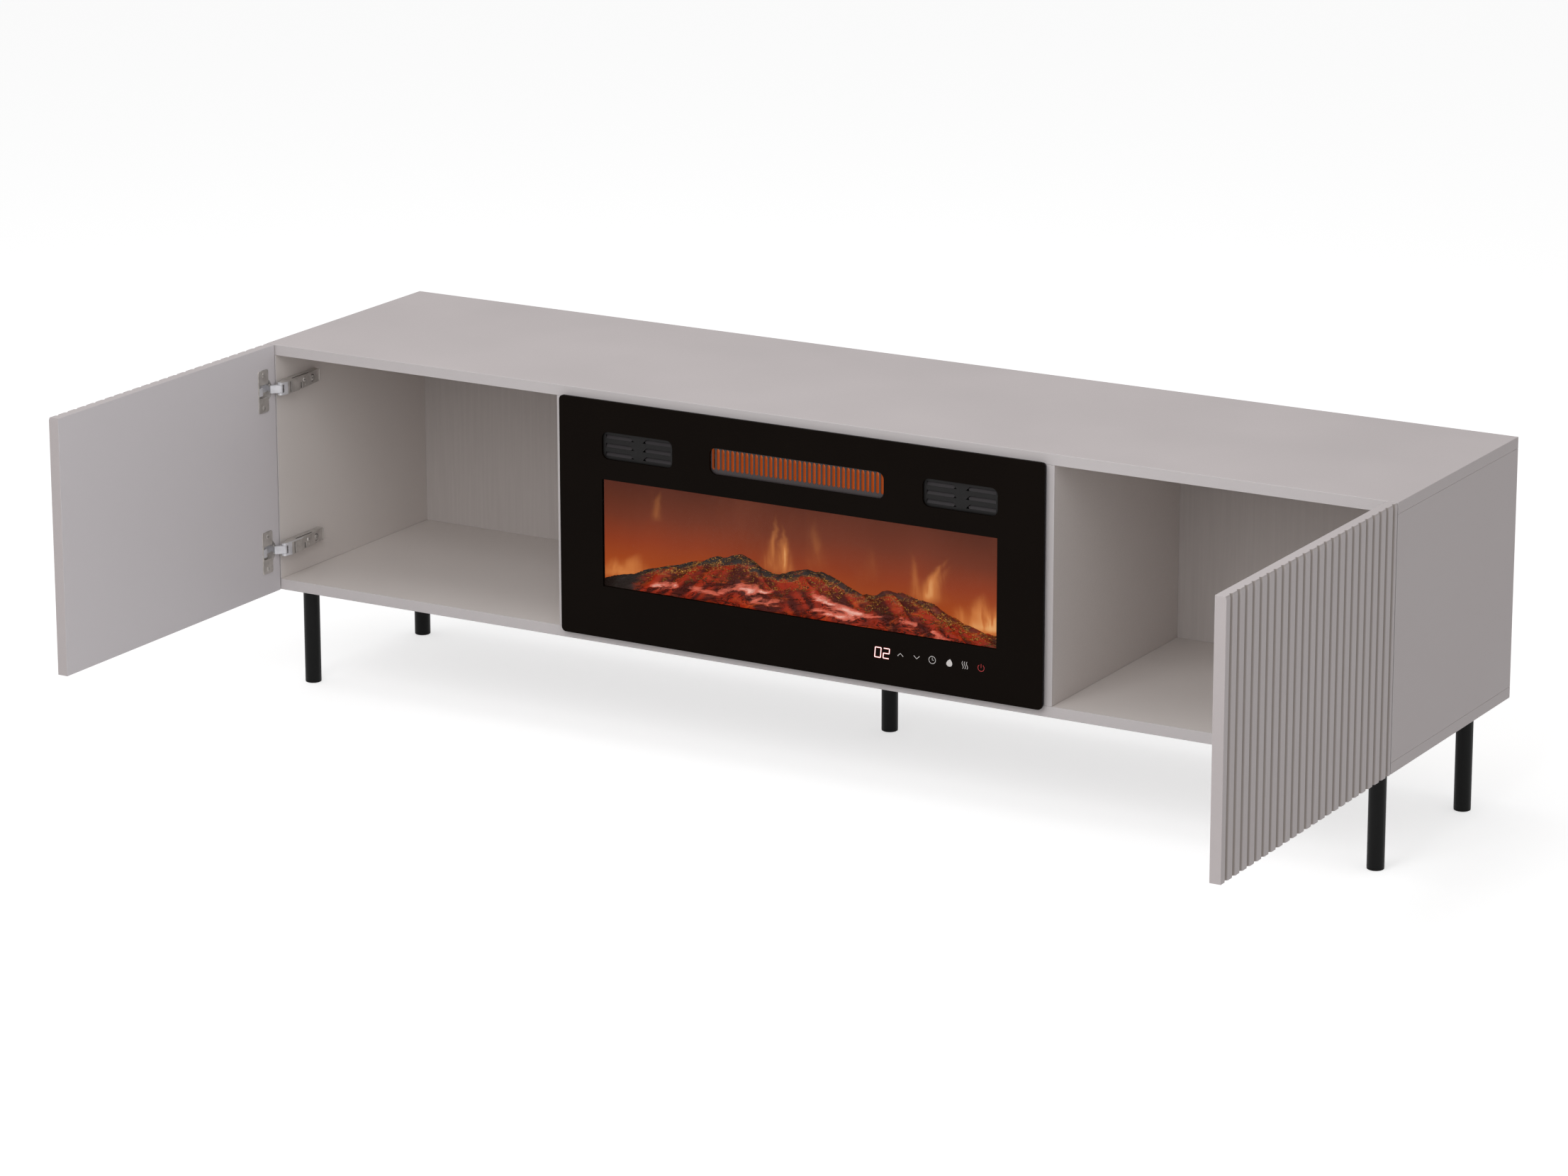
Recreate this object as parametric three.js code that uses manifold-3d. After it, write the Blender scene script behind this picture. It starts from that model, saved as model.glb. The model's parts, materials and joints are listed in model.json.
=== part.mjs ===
// Fireplace TV stand: a low wide cabinet on five round legs, with two ribbed doors on concealed hinges
// and an electric fireplace insert between two open bays. Millimetres, +Z up.
// The origin is on the floor, under the middle of the stand with its doors open at 90 degrees.
// Inside the main group z is zero at the underside of the carcass and y is zero at its front edges.
import * as THREE from 'three';
import { mergeVertices } from 'three/addons/utils/BufferGeometryUtils.js';
import Module from 'manifold-3d';

const wasm = await Module();
wasm.setup();

// Carcass
const carcassWidth = 1800;
const carcassDepth = 400;
const carcassHeight = 371;
const boardThickness = 16;
const centreBayWidth = 762;
const backThickness = 3;
const backRecess = 12;
const cableHoleWidth = 60;
const cableHoleHeight = 40;
const cableHoleCorner = 10;
const airSlotWidth = 8;
const airSlotHeight = 90;
const airSlotPitch = 24;
const airSlotRise = 190;
const airSlotCount = 8;

// Legs
const legHeight = 150;
const leg = {
  radius: 12, wall: 1.5, inset: 38, frontSetback: 45, rearSetback: 65, middleSetback: 260,
  plateSize: 56, plateThickness: 3, plateCorner: 8, glideThickness: 2, glideStem: 12,
};

// Doors: ribbed outside, plain inside
const door = {
  thickness: 16, closedGap: 5, openGap: 2.5, glassGap: 2.1,
  grooveWidth: 9.6, grooveFloor: 3.6, grooveDepth: 3.5, freeLand: 16, hingeLand: 9.8,
  crestDrop: 4.5, crestBevel: 1.3,
};
const grooveCount = 24;

// Concealed hinges, seen in plan. Heights are above the inner face of the side panel
const hinge = {
  fromEnd: 63.8,
  cupRadius: 17.2, cupFit: 0.3, cupWall: 0.8, cupDepth: 10.5, cupFloor: 1, cupFromEdge: 25.2,
  flangeFrom: 18, flangeTo: 36.6, flangeLength: 63.2, flangeThickness: 1.2, flangeBevel: 3,
  cupPivotFromEdge: 11, cupPivotDepth: 2.5, pinRadius: 1.2, pinInset: 0.2,
  armPivotHeight: 11, axleRadius: 1.5, runningGap: 0.3,
  linkWidth: 11.5, tongueWidth: 7, tongueSetback: 0.6, tongueRadius: 1, crankReach: 5.2, crankRadius: 1.8,
  linkRadius: 3.9,
  armWidth: 18.6, noseRadius: 4.5, armHeight: 18, armFootHeight: 1, armWeb: 2,
  crownStart: 5, crownEnd: 34, stepStart: 36, stepEnd: 45, stepHeight: 15.5, tailReach: 96, tailHeight: 9.5,
  footStart: 14, throatReach: 8, throatHeight: 4,
  plateStart: 18, plateEnd: 88, plateHeight: 6, clampStart: 56, clampFull: 60,
};
const crankTurn = THREE.MathUtils.degToRad(205);

// Fireplace insert
const glass = {
  sideLap: 6, edgeDrop: 11.5, thickness: 4, standOff: 10, corner: 7, cutCorner: 10,
  ventWidth: 116, ventHeight: 39.8, ventShift: 5, heaterWidth: 278, heaterHeight: 38.2, airDrop: 64.9,
  windowSide: 71, windowBelowTop: 114.5, windowAboveBottom: 76.5,
};
const frame = {
  inset: 2, windowMargin: 3, airMargin: 4, keysWidth: 204, keysHeight: 42, keysFromSide: 177, keysLift: 46.5,
};
const casing = { sideGap: 8, rearGap: 7, wall: 1.5, topGap: 5, deckRise: 42 };
const cover = {
  thickness: 1.5, slotWidth: 40, slotHeight: 5, slotPitch: 56, slotRowPitch: 14, slotLift: 1.4,
};
const coverSlotCount = 6;
const coverRowCount = 3;
const bracket = { sheet: 1.5, length: 28, height: 34, setback: 40 };
const logBed = { endGap: 19.5, front: 12, depth: 52, cavityWall: 9, cavityHeight: 9 };
const screen = { bedGap: 6, thickness: 3, sideGap: 0.3 };
const logSinkShare = 0.6;
const logTaperShare = 0.8;
const bedColumns = 28;
const bedRows = 6;
const logSides = 8;
const emberBoard = { thickness: 1.6, edgeGap: 6, lampSize: 5, lampHeight: 2.2, lampPitch: 44 };
const rotor = {
  radius: 3, screenGap: 23, rise: 24, flagLength: 30, flagReach: 10, flagThickness: 0.8, flagPitch: 42,
  endMargin: 50, bearingRadius: 8, bearingLength: 18, pinDepth: 9, motorRadius: 17, motorLength: 26,
  motorPin: 7,
};
const fan = {
  ductLap: 6, ductHeight: 80, ductWall: 1.5, ductFront: 2, ductDrop: 41.1, intakeInset: 29,
  wheelRadius: 25, wheelEndGap: 14, discThickness: 2, heaterGap: 20, backGap: 11, shaftRadius: 3,
  bladeDepth: 7,
  bladeThickness: 1, bladeLean: 0.6, motorRadius: 22, motorLength: 34, motorPin: 10, boreGap: 0.3,
  intakeHeight: 34, bearingRadius: 8, bearingLength: 6,
};
const bladeCount = 18;
const heater = {
  sideGap: 6.5, edgeInset: 2.1, depth: 15, setback: 8, cellPitch: 21, cellWall: 3, cellDepth: 4,
};
const grille = {
  depth: 5, fit: 0.3, slotWidth: 4.9, slotPitch: 7.71, slotLedge: 5.55, slotTopGap: 1.15,
};
const louvre = { depth: 5, fit: 0.3, slotHeight: 6, rowPitch: 12.5, postHalf: 7, slant: 6, endLand: 4.5 };
const louvreRowCount = 3;
const controlBoard = { edgeGap: 4, thickness: 1.6 };
const inlet = {
  fromSide: 73, rise: 22, flangeWidth: 40, flangeHeight: 28, flangeThickness: 2, bodyWidth: 28,
  bodyHeight: 20, bodyDepth: 18, wall: 1.5, floor: 3, fit: 0.3,
  pinWidth: 2, pinHeight: 4, pinLength: 11, pinPitch: 7,
};

// A cutting tool runs this far past the face that it cuts
const overrun = 2;
const arcSteps = 6;
const tubeSteps = 18;
const cupSteps = 24;

// Derived places
const halfWidth = carcassWidth / 2;
const innerTop = carcassHeight - boardThickness;
const centreHalf = centreBayWidth / 2;
const backFront = carcassDepth - backRecess - backThickness;
const glassHalf = centreHalf + glass.sideLap;
const glassHeight = carcassHeight - 2 * glass.edgeDrop;
const doorWidth = halfWidth - glassHalf - door.glassGap;
const doorReach = door.openGap + doorWidth;
const groovePitch = (doorWidth - door.freeLand - door.hingeLand) / (grooveCount - 1);
const frontSetback = (doorReach - carcassDepth) / 2;
const glassMiddle = carcassHeight / 2;
const glassBack = glass.thickness - glass.standOff;
const airMiddle = carcassHeight - glass.edgeDrop - glass.airDrop;
const ventOffset = (glassHalf + glass.heaterWidth / 2) / 2 - glass.ventShift;
const windowWidth = 2 * (glassHalf - glass.windowSide);
const windowHeight = glassHeight - glass.windowBelowTop - glass.windowAboveBottom;
const windowMiddle = glass.edgeDrop + glass.windowAboveBottom + windowHeight / 2;
const keysCentre = glassHalf - frame.keysFromSide;
const keysRise = glass.edgeDrop + frame.keysLift;
const casingHalf = centreHalf - casing.sideGap;
const casingInner = casingHalf - casing.wall;
const casingTop = innerTop - casing.topGap;
const deckTop = boardThickness + casing.deckRise + casing.wall;
const dividerTop = airMiddle - fan.ductDrop;
const dividerBottom = dividerTop - casing.wall;
const logHalf = casingInner - logBed.endGap;
const logBack = logBed.front + logBed.depth;
const screenFront = logBack + screen.bedGap;
const screenBack = screenFront + screen.thickness;
const rotorSetback = screenBack + rotor.screenGap;
const rotorRise = deckTop + rotor.rise;
const casingDepth = rotorSetback + rotor.motorRadius + casing.rearGap;
const ductHalf = glass.heaterWidth / 2 + fan.ductLap;
const wheelHalf = ductHalf - fan.wheelEndGap;
const wheelSetback = heater.setback + heater.depth + fan.heaterGap + fan.wheelRadius;
const ductBack = wheelSetback + fan.wheelRadius + fan.backGap;
const inletCentre = casingHalf - inlet.fromSide;

// Solids from three.js geometries, and meshes from the solids
function solid(geometry) {
  const bare = new THREE.BufferGeometry();
  bare.setAttribute('position', geometry.getAttribute('position'));
  if (geometry.index) bare.setIndex(geometry.index);
  const merged = mergeVertices(bare);
  const vertProperties = new Float32Array(merged.getAttribute('position').array);
  const triVerts = new Uint32Array(merged.index.array);
  return new wasm.Manifold(new wasm.Mesh({ numProp: 3, vertProperties, triVerts }));
}

function geometryOf(body) {
  const mesh = body.getMesh();
  const geometry = new THREE.BufferGeometry();
  geometry.setAttribute('position', new THREE.BufferAttribute(new Float32Array(mesh.vertProperties), 3));
  geometry.setIndex(new THREE.BufferAttribute(new Uint32Array(mesh.triVerts), 1));
  geometry.computeVertexNormals();
  return geometry;
}

// The left-hand copy of a right-hand piece
function mirrored(geometry) {
  const copy = geometry.clone();
  const position = copy.getAttribute('position');
  for (let i = 0; i < position.count; i += 1) position.setX(i, -position.getX(i));
  const index = copy.index;
  for (let i = 0; i < index.count; i += 3) {
    const second = index.getX(i + 1);
    index.setX(i + 1, index.getX(i + 2));
    index.setX(i + 2, second);
  }
  copy.computeVertexNormals();
  return copy;
}

function box(x0, x1, y0, y1, z0, z1) {
  const geometry = new THREE.BoxGeometry(x1 - x0, y1 - y0, z1 - z0);
  geometry.translate((x0 + x1) / 2, (y0 + y1) / 2, (z0 + z1) / 2);
  return solid(geometry);
}

// A plan outline (x, y) carried up from z0 to z1
function upright(shape, z0, z1) {
  const geometry = new THREE.ExtrudeGeometry(shape, { depth: z1 - z0, bevelEnabled: false });
  geometry.translate(0, 0, z0);
  return solid(geometry);
}

// A front outline (x, z) carried back from y0 to y1
function facing(shape, y0, y1) {
  const geometry = new THREE.ExtrudeGeometry(shape, { depth: y1 - y0, bevelEnabled: false });
  geometry.applyMatrix4(new THREE.Matrix4().set(1, 0, 0, 0, 0, 0, -1, y1, 0, 1, 0, 0, 0, 0, 0, 1));
  return solid(geometry);
}

// A side outline (y, z) carried across from x0 to x1
function across(shape, x0, x1) {
  const geometry = new THREE.ExtrudeGeometry(shape, { depth: x1 - x0, bevelEnabled: false });
  geometry.applyMatrix4(new THREE.Matrix4().set(0, 0, 1, x0, 1, 0, 0, 0, 0, 1, 0, 0, 0, 0, 0, 1));
  return solid(geometry);
}

function polygon(points) {
  return new THREE.Shape(points.map(([x, y]) => new THREE.Vector2(x, y)));
}

function arc(cx, cy, radius, from, to, steps) {
  const points = [];
  for (let i = 0; i <= steps; i += 1) {
    const turn = from + ((to - from) * i) / steps;
    points.push([cx + radius * Math.cos(turn), cy + radius * Math.sin(turn)]);
  }
  return points;
}

function circle(cx, cy, radius, steps) {
  return polygon(arc(cx, cy, radius, 0, 2 * Math.PI, steps).slice(1));
}

function roundedRectangle(cx, cy, width, height, radius, steps = arcSteps) {
  const dx = width / 2 - radius;
  const dy = height / 2 - radius;
  const quarter = Math.PI / 2;
  return polygon([
    ...arc(cx + dx, cy + dy, radius, 0, quarter, steps),
    ...arc(cx - dx, cy + dy, radius, quarter, 2 * quarter, steps),
    ...arc(cx - dx, cy - dy, radius, 2 * quarter, 3 * quarter, steps),
    ...arc(cx + dx, cy - dy, radius, 3 * quarter, 4 * quarter, steps),
  ]);
}

// A bar with two round ends of unlike radius
function taperedBar(p, pRadius, q, qRadius) {
  const length = Math.hypot(q[0] - p[0], q[1] - p[1]);
  const lean = Math.atan2(q[1] - p[1], q[0] - p[0]);
  const spread = Math.acos((pRadius - qRadius) / length);
  return polygon([
    ...arc(p[0], p[1], pRadius, lean + spread, lean + 2 * Math.PI - spread, arcSteps),
    ...arc(q[0], q[1], qRadius, lean - spread, lean + spread, arcSteps),
  ]);
}

// Finishes
function finish(color, roughness, metalness) {
  return () => new THREE.MeshStandardMaterial({ color, roughness, metalness });
}
const cashmere = finish(0xb4b0ae, 0.62, 0);
const hardboard = finish(0xa8a29c, 0.75, 0);
const blackPaint = finish(0x141414, 0.45, 0.6);
const blackPlastic = finish(0x1b1b1c, 0.6, 0);
const nickel = finish(0xc9c6c4, 0.28, 1);
const blackGlass = finish(0x100d08, 0.05, 0);
const darkSheet = finish(0x2a2b2d, 0.55, 0.7);
const zincSheet = finish(0x9a9c9e, 0.45, 0.9);
const ember = finish(0xa8331c, 0.6, 0);
const flamePicture = finish(0x7a3a24, 0.5, 0);
const glowBar = finish(0xc25a1e, 0.5, 0.2);
const circuit = finish(0x1f4a34, 0.6, 0.1);
const motorShell = finish(0x6f7276, 0.4, 0.9);

const stand = new THREE.Group();
stand.position.set(0, frontSetback, legHeight);

function add(name, geometry, material, x = 0, y = 0, z = 0) {
  const mesh = new THREE.Mesh(geometry, material());
  mesh.name = name;
  mesh.position.set(x, y, z);
  stand.add(mesh);
}

// Carcass boards: the top and the bottom run the full width, the sides and partitions stand between them
function addCarcass() {
  const fullBoard = (z0, z1) => geometryOf(box(-halfWidth, halfWidth, 0, carcassDepth, z0, z1));
  add('top_panel', fullBoard(innerTop, carcassHeight), cashmere);
  add('bottom_panel', fullBoard(0, boardThickness), cashmere);
  const standing = { left_side_panel: -halfWidth, right_side_panel: halfWidth - boardThickness,
    left_partition: -centreHalf - boardThickness, right_partition: centreHalf };
  for (const [name, x] of Object.entries(standing)) {
    const board = box(x, x + boardThickness, 0, carcassDepth, boardThickness, innerTop);
    add(name, geometryOf(board), cashmere);
  }
  const bayInner = centreHalf + boardThickness;
  const bayOuter = halfWidth - boardThickness;
  const bayBack = geometryOf(
    box(bayInner, bayOuter, backFront, backFront + backThickness, boardThickness, innerTop),
  );
  add('right_back_panel', bayBack, hardboard);
  add('left_back_panel', mirrored(bayBack), hardboard);
  add('centre_back_panel', geometryOf(centreBack()), hardboard);
}

// The back of the fireplace bay has a cable hole at the inlet and a row of air slots
function centreBack() {
  const backEnd = backFront + backThickness;
  let board = box(-centreHalf, centreHalf, backFront, backEnd, boardThickness, innerTop);
  const cableMiddle = boardThickness + inlet.rise;
  const cableHole = roundedRectangle(
    inletCentre, cableMiddle, cableHoleWidth, cableHoleHeight, cableHoleCorner,
  );
  board = board.subtract(facing(cableHole, backFront - overrun, backEnd + overrun));
  for (let i = 0; i < airSlotCount; i += 1) {
    const x = (i - (airSlotCount - 1) / 2) * airSlotPitch;
    const middle = boardThickness + airSlotRise;
    const slot = roundedRectangle(x, middle, airSlotWidth, airSlotHeight, airSlotWidth / 2, 2);
    board = board.subtract(facing(slot, backFront - overrun, backEnd + overrun));
  }
  return board;
}

// Each leg is a steel tube welded to a square plate, with a glide plugged into its foot
function addLegs() {
  const tube = upright(circle(0, 0, leg.radius, tubeSteps), leg.glideThickness - legHeight, 0);
  const bore = upright(
    circle(0, 0, leg.radius - leg.wall, tubeSteps), -legHeight - overrun, -leg.plateThickness - leg.wall,
  );
  const plateOutline = roundedRectangle(0, 0, leg.plateSize, leg.plateSize, leg.plateCorner, 3);
  const legGeometry = geometryOf(tube.add(upright(plateOutline, -leg.plateThickness, 0)).subtract(bore));
  const footTop = leg.glideThickness - legHeight;
  const pad = upright(circle(0, 0, leg.radius, tubeSteps), -legHeight, footTop);
  const stemRadius = leg.radius - leg.wall - hinge.runningGap;
  const stem = upright(circle(0, 0, stemRadius, tubeSteps), -legHeight, footTop + leg.glideStem);
  const glideGeometry = geometryOf(pad.add(stem));
  const x = halfWidth - leg.inset;
  const rear = carcassDepth - leg.rearSetback;
  const places = { front_left: [-x, leg.frontSetback], front_right: [x, leg.frontSetback],
    rear_left: [-x, rear], rear_right: [x, rear], middle: [0, leg.middleSetback] };
  for (const [place, [px, py]] of Object.entries(places)) {
    add(`leg_${place}`, legGeometry, blackPaint, px, py, 0);
    add(`glide_${place}`, glideGeometry, blackPlastic, px, py, 0);
  }
}

// Hinge geometry of the right-hand door, in plan. x is zero at the outer face of the side panel.
// The door swings about the pole, which carries its open place onto its closed one
const sideInner = -boardThickness;
const swingPole = [
  (door.openGap - door.closedGap - door.thickness) / 2,
  -(door.closedGap + door.thickness + door.openGap) / 2,
];
const closedCupPivot = [-hinge.cupPivotFromEdge, -door.closedGap - hinge.cupPivotDepth];
const openCupPivot = [
  swingPole[0] - (closedCupPivot[1] - swingPole[1]),
  swingPole[1] + (closedCupPivot[0] - swingPole[0]),
];
// The arm pivot lies as far from the cup end of the link when the door is open as when it is closed
function armPivot() {
  const x = sideInner - hinge.armPivotHeight;
  const alongX = openCupPivot[0] - closedCupPivot[0];
  const alongY = openCupPivot[1] - closedCupPivot[1];
  const middleX = (openCupPivot[0] + closedCupPivot[0]) / 2;
  const middleY = (openCupPivot[1] + closedCupPivot[1]) / 2;
  return [x, middleY - ((x - middleX) * alongX) / alongY];
}
const armPin = armPivot();
const upperHinge = carcassHeight - hinge.fromEnd;
const lowerHinge = hinge.fromEnd;
const cupCentre = -door.openGap - hinge.cupFromEdge;

// A round bar along x, centred on a place in the side view
function bar(x0, x1, y, z, radius, steps) {
  return across(circle(y, z, radius, steps), x0, x1);
}

// The door stands open: its inner face looks at the other bay and its ribs look outwards
function doorGeometry() {
  const nearEnd = -door.openGap;
  const farEnd = -doorReach;
  const outline = [[-door.thickness, nearEnd], [-door.thickness, farEnd], [0, farEnd]];
  for (let i = 0; i < grooveCount; i += 1) {
    const y = farEnd + door.freeLand + i * groovePitch;
    outline.push([0, y - door.grooveWidth / 2], [-door.grooveDepth, y - door.grooveFloor / 2]);
    outline.push([-door.grooveDepth, y + door.grooveFloor / 2], [0, y + door.grooveWidth / 2]);
  }
  outline.push([0, nearEnd]);
  let panel = upright(polygon(outline), 0, carcassHeight);
  const crestCut = new THREE.ExtrudeGeometry(polygon([
    [-door.crestBevel, carcassHeight + overrun], [-door.crestBevel, carcassHeight],
    [0, carcassHeight - door.crestDrop], [overrun, carcassHeight - door.crestDrop],
    [overrun, carcassHeight + overrun],
  ]), { depth: doorWidth + 2 * overrun, bevelEnabled: false });
  const lay = new THREE.Matrix4().set(1, 0, 0, 0, 0, 0, -1, nearEnd + overrun, 0, 1, 0, 0, 0, 0, 0, 1);
  panel = panel.subtract(solid(crestCut.applyMatrix4(lay)));
  const boreEnd = hinge.cupDepth + hinge.cupFit - door.thickness;
  for (const z of [lowerHinge, upperHinge]) {
    const boreRadius = hinge.cupRadius + hinge.cupFit;
    panel = panel.subtract(bar(-door.thickness - overrun, boreEnd, cupCentre, z, boreRadius, cupSteps));
  }
  return geometryOf(panel);
}

// The cup drops into its bore, and its flange lies on the inner face of the door. Two short pins in its
// wall hold the tongue of the link between them
function cupGeometry() {
  const face = -door.thickness;
  const flangeFace = face - hinge.flangeThickness;
  const y0 = -door.openGap - hinge.flangeTo;
  const y1 = -door.openGap - hinge.flangeFrom;
  const z1 = hinge.flangeLength / 2;
  const bevel = hinge.flangeBevel;
  const flange = across(polygon([
    [y0 + bevel, -z1], [y1 - bevel, -z1], [y1, bevel - z1], [y1, z1 - bevel],
    [y1 - bevel, z1], [y0 + bevel, z1], [y0, z1 - bevel], [y0, bevel - z1],
  ]), flangeFace, face);
  const shell = bar(flangeFace, face + hinge.cupDepth, cupCentre, 0, hinge.cupRadius, cupSteps);
  const hollowEnd = face + hinge.cupDepth - hinge.cupFloor;
  const innerRadius = hinge.cupRadius - hinge.cupWall;
  const hollow = bar(flangeFace - overrun, hollowEnd, cupCentre, 0, innerRadius, cupSteps);
  const rimRelief = box(
    flangeFace - overrun, face, y1, cupCentre + hinge.cupRadius + overrun, -z1, z1,
  );
  let cup = flange.add(shell).subtract(hollow).subtract(rimRelief);
  const pinStart = hinge.tongueWidth / 2 + hinge.runningGap;
  const pinOffset = openCupPivot[1] - cupCentre + hinge.pinRadius;
  const pinEnd = Math.sqrt((hinge.cupRadius - hinge.pinInset) ** 2 - pinOffset ** 2);
  for (const side of [-1, 1]) {
    const ends = [side * pinStart, side * pinEnd].sort((a, b) => a - b);
    cup = cup.add(upright(circle(...openCupPivot, hinge.pinRadius, arcSteps + 2), ...ends));
  }
  return geometryOf(cup);
}

// The link turns on an axle in the arm, and its cranked tongue reaches over the rim into the cup
function linkGeometry() {
  const onTongue = (reach) => [
    openCupPivot[0] + reach * Math.cos(crankTurn), openCupPivot[1] + reach * Math.sin(crankTurn),
  ];
  const elbow = onTongue(hinge.crankReach);
  const halfLink = hinge.linkWidth / 2;
  const halfTongue = hinge.tongueWidth / 2;
  const tongue = upright(
    taperedBar(onTongue(hinge.tongueSetback), hinge.tongueRadius, elbow, hinge.crankRadius),
    -halfTongue, halfTongue,
  );
  const body = upright(taperedBar(elbow, hinge.crankRadius, armPin, hinge.linkRadius), -halfLink, halfLink);
  const halfArm = hinge.armWidth / 2;
  const armAxle = upright(circle(...armPin, hinge.axleRadius, arcSteps + 2), -halfArm, halfArm);
  return geometryOf(tongue.add(body).add(armAxle));
}

// Height of the channel roof of the arm, above the inner face of the side panel
function channelHeight(y) {
  if (y <= hinge.crownEnd) return hinge.armHeight - hinge.armWeb;
  if (y <= hinge.stepEnd) return hinge.stepHeight - hinge.armWeb;
  const run = (y - hinge.stepEnd) / (hinge.tailReach - hinge.stepEnd);
  return hinge.stepHeight - hinge.armWeb + run * (hinge.tailHeight - hinge.stepHeight);
}

// The arm is a channel over its mounting plate, with two cheeks that hold the link at the nose
function armGeometry() {
  const at = (height, y) => [sideInner - height, y];
  const nose = arc(...armPin, hinge.noseRadius, Math.PI, 2 * Math.PI, 2 * arcSteps);
  const outline = polygon([
    ...nose, at(hinge.throatHeight, hinge.throatReach), at(hinge.armFootHeight, hinge.footStart),
    at(hinge.armFootHeight, hinge.tailReach), at(hinge.tailHeight, hinge.tailReach),
    at(hinge.stepHeight, hinge.stepEnd), at(hinge.stepHeight, hinge.stepStart),
    at(hinge.armHeight, hinge.crownEnd), at(hinge.armHeight, hinge.crownStart),
  ]);
  const halfArm = hinge.armWidth / 2;
  const halfChannel = hinge.linkWidth / 2 + hinge.runningGap;
  const tailEnd = hinge.tailReach + overrun;
  const noseFront = armPin[1] - hinge.noseRadius - overrun;
  const channel = polygon([
    at(-overrun, noseFront), at(-overrun, tailEnd), at(channelHeight(tailEnd), tailEnd),
    at(channelHeight(hinge.stepEnd), hinge.stepEnd), at(channelHeight(hinge.stepEnd), hinge.stepStart),
    at(channelHeight(hinge.crownEnd), hinge.crownEnd - hinge.armWeb),
    at(channelHeight(hinge.crownEnd), noseFront),
  ]);
  const axleHole = circle(...armPin, hinge.axleRadius + hinge.runningGap, arcSteps + 2);
  return geometryOf(upright(outline, -halfArm, halfArm)
    .subtract(upright(channel, -halfChannel, halfChannel))
    .subtract(upright(axleHole, -halfArm - overrun, halfArm + overrun)));
}

// The mounting plate is screwed to the side panel, and its raised clamp end carries the arm
function mountingPlateGeometry() {
  const at = (height, y) => [sideInner - height, y];
  const outline = polygon([
    at(0, hinge.plateStart), at(0, hinge.plateEnd),
    at(channelHeight(hinge.plateEnd) - hinge.runningGap, hinge.plateEnd),
    at(channelHeight(hinge.clampFull) - hinge.runningGap, hinge.clampFull),
    at(hinge.plateHeight, hinge.clampStart), at(hinge.plateHeight, hinge.plateStart),
  ]);
  const half = hinge.linkWidth / 2;
  return geometryOf(upright(outline, -half, half));
}

function addDoors() {
  const right = doorGeometry();
  add('right_door', right, cashmere, halfWidth);
  add('left_door', mirrored(right), cashmere, -halfWidth);
  const pieces = {
    cup: cupGeometry(), link: linkGeometry(), arm: armGeometry(), mounting_plate: mountingPlateGeometry(),
  };
  for (const [level, z] of Object.entries({ upper: upperHinge, lower: lowerHinge })) {
    for (const [piece, geometry] of Object.entries(pieces)) {
      add(`right_${level}_hinge_${piece}`, geometry, nickel, halfWidth, 0, z);
      add(`left_${level}_hinge_${piece}`, mirrored(geometry), nickel, -halfWidth, 0, z);
    }
  }
}

// One sheet of glass covers the whole front, with three cut-outs for air
function glassPanel() {
  let sheet = facing(
    roundedRectangle(0, glassMiddle, 2 * glassHalf, glassHeight, glass.corner), -glass.standOff, glassBack,
  );
  for (const [x, width, height] of airOpenings()) {
    const hole = roundedRectangle(x, airMiddle, width, height, glass.cutCorner);
    sheet = sheet.subtract(facing(hole, -glass.standOff - overrun, glassBack + overrun));
  }
  return sheet;
}

function airOpenings(margin = 0) {
  const vent = [glass.ventWidth + 2 * margin, glass.ventHeight + 2 * margin];
  return [
    [-ventOffset, ...vent], [ventOffset, ...vent],
    [0, glass.heaterWidth + 2 * margin, glass.heaterHeight + 2 * margin],
  ];
}

// The front frame holds the glass off the carcass and carries the casing, the louvres and the grille
function frontFrame() {
  const width = 2 * (glassHalf - frame.inset);
  const height = glassHeight - 2 * frame.inset;
  let sheet = facing(
    roundedRectangle(0, glassMiddle, width, height, glass.corner - frame.inset), glassBack, 0,
  );
  const cutFrom = glassBack - overrun;
  const openingWidth = windowWidth + 2 * frame.windowMargin;
  const openingHeight = windowHeight + 2 * frame.windowMargin;
  sheet = sheet.subtract(box(
    -openingWidth / 2, openingWidth / 2, cutFrom, overrun,
    windowMiddle - openingHeight / 2, windowMiddle + openingHeight / 2,
  ));
  for (const [x, w, h] of airOpenings(frame.airMargin)) {
    sheet = sheet.subtract(facing(roundedRectangle(x, airMiddle, w, h, glass.cutCorner), cutFrom, overrun));
  }
  return sheet.subtract(box(
    keysCentre - frame.keysWidth / 2, keysCentre + frame.keysWidth / 2, cutFrom, overrun,
    keysRise - frame.keysHeight / 2, keysRise + frame.keysHeight / 2,
  ));
}

// A plate with upright slots stands in front of the heater
function grillePlate() {
  const gap = frame.airMargin - grille.fit;
  const width = glass.heaterWidth + 2 * gap;
  const height = glass.heaterHeight + 2 * gap;
  const plateBack = glassBack + grille.depth;
  let plate = facing(
    roundedRectangle(0, airMiddle, width, height, glass.cutCorner - grille.fit), glassBack, plateBack,
  );
  const slotCount = Math.floor(glass.heaterWidth / grille.slotPitch);
  const slotHeight = glass.heaterHeight - grille.slotLedge - grille.slotTopGap;
  const middle = airMiddle + (grille.slotLedge - grille.slotTopGap) / 2;
  for (let i = 0; i < slotCount; i += 1) {
    const x = (i - (slotCount - 1) / 2) * grille.slotPitch;
    const slot = roundedRectangle(x, middle, grille.slotWidth, slotHeight, grille.slotWidth / 2, 1);
    plate = plate.subtract(facing(slot, glassBack - overrun, plateBack + overrun));
  }
  return plate;
}

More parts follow.
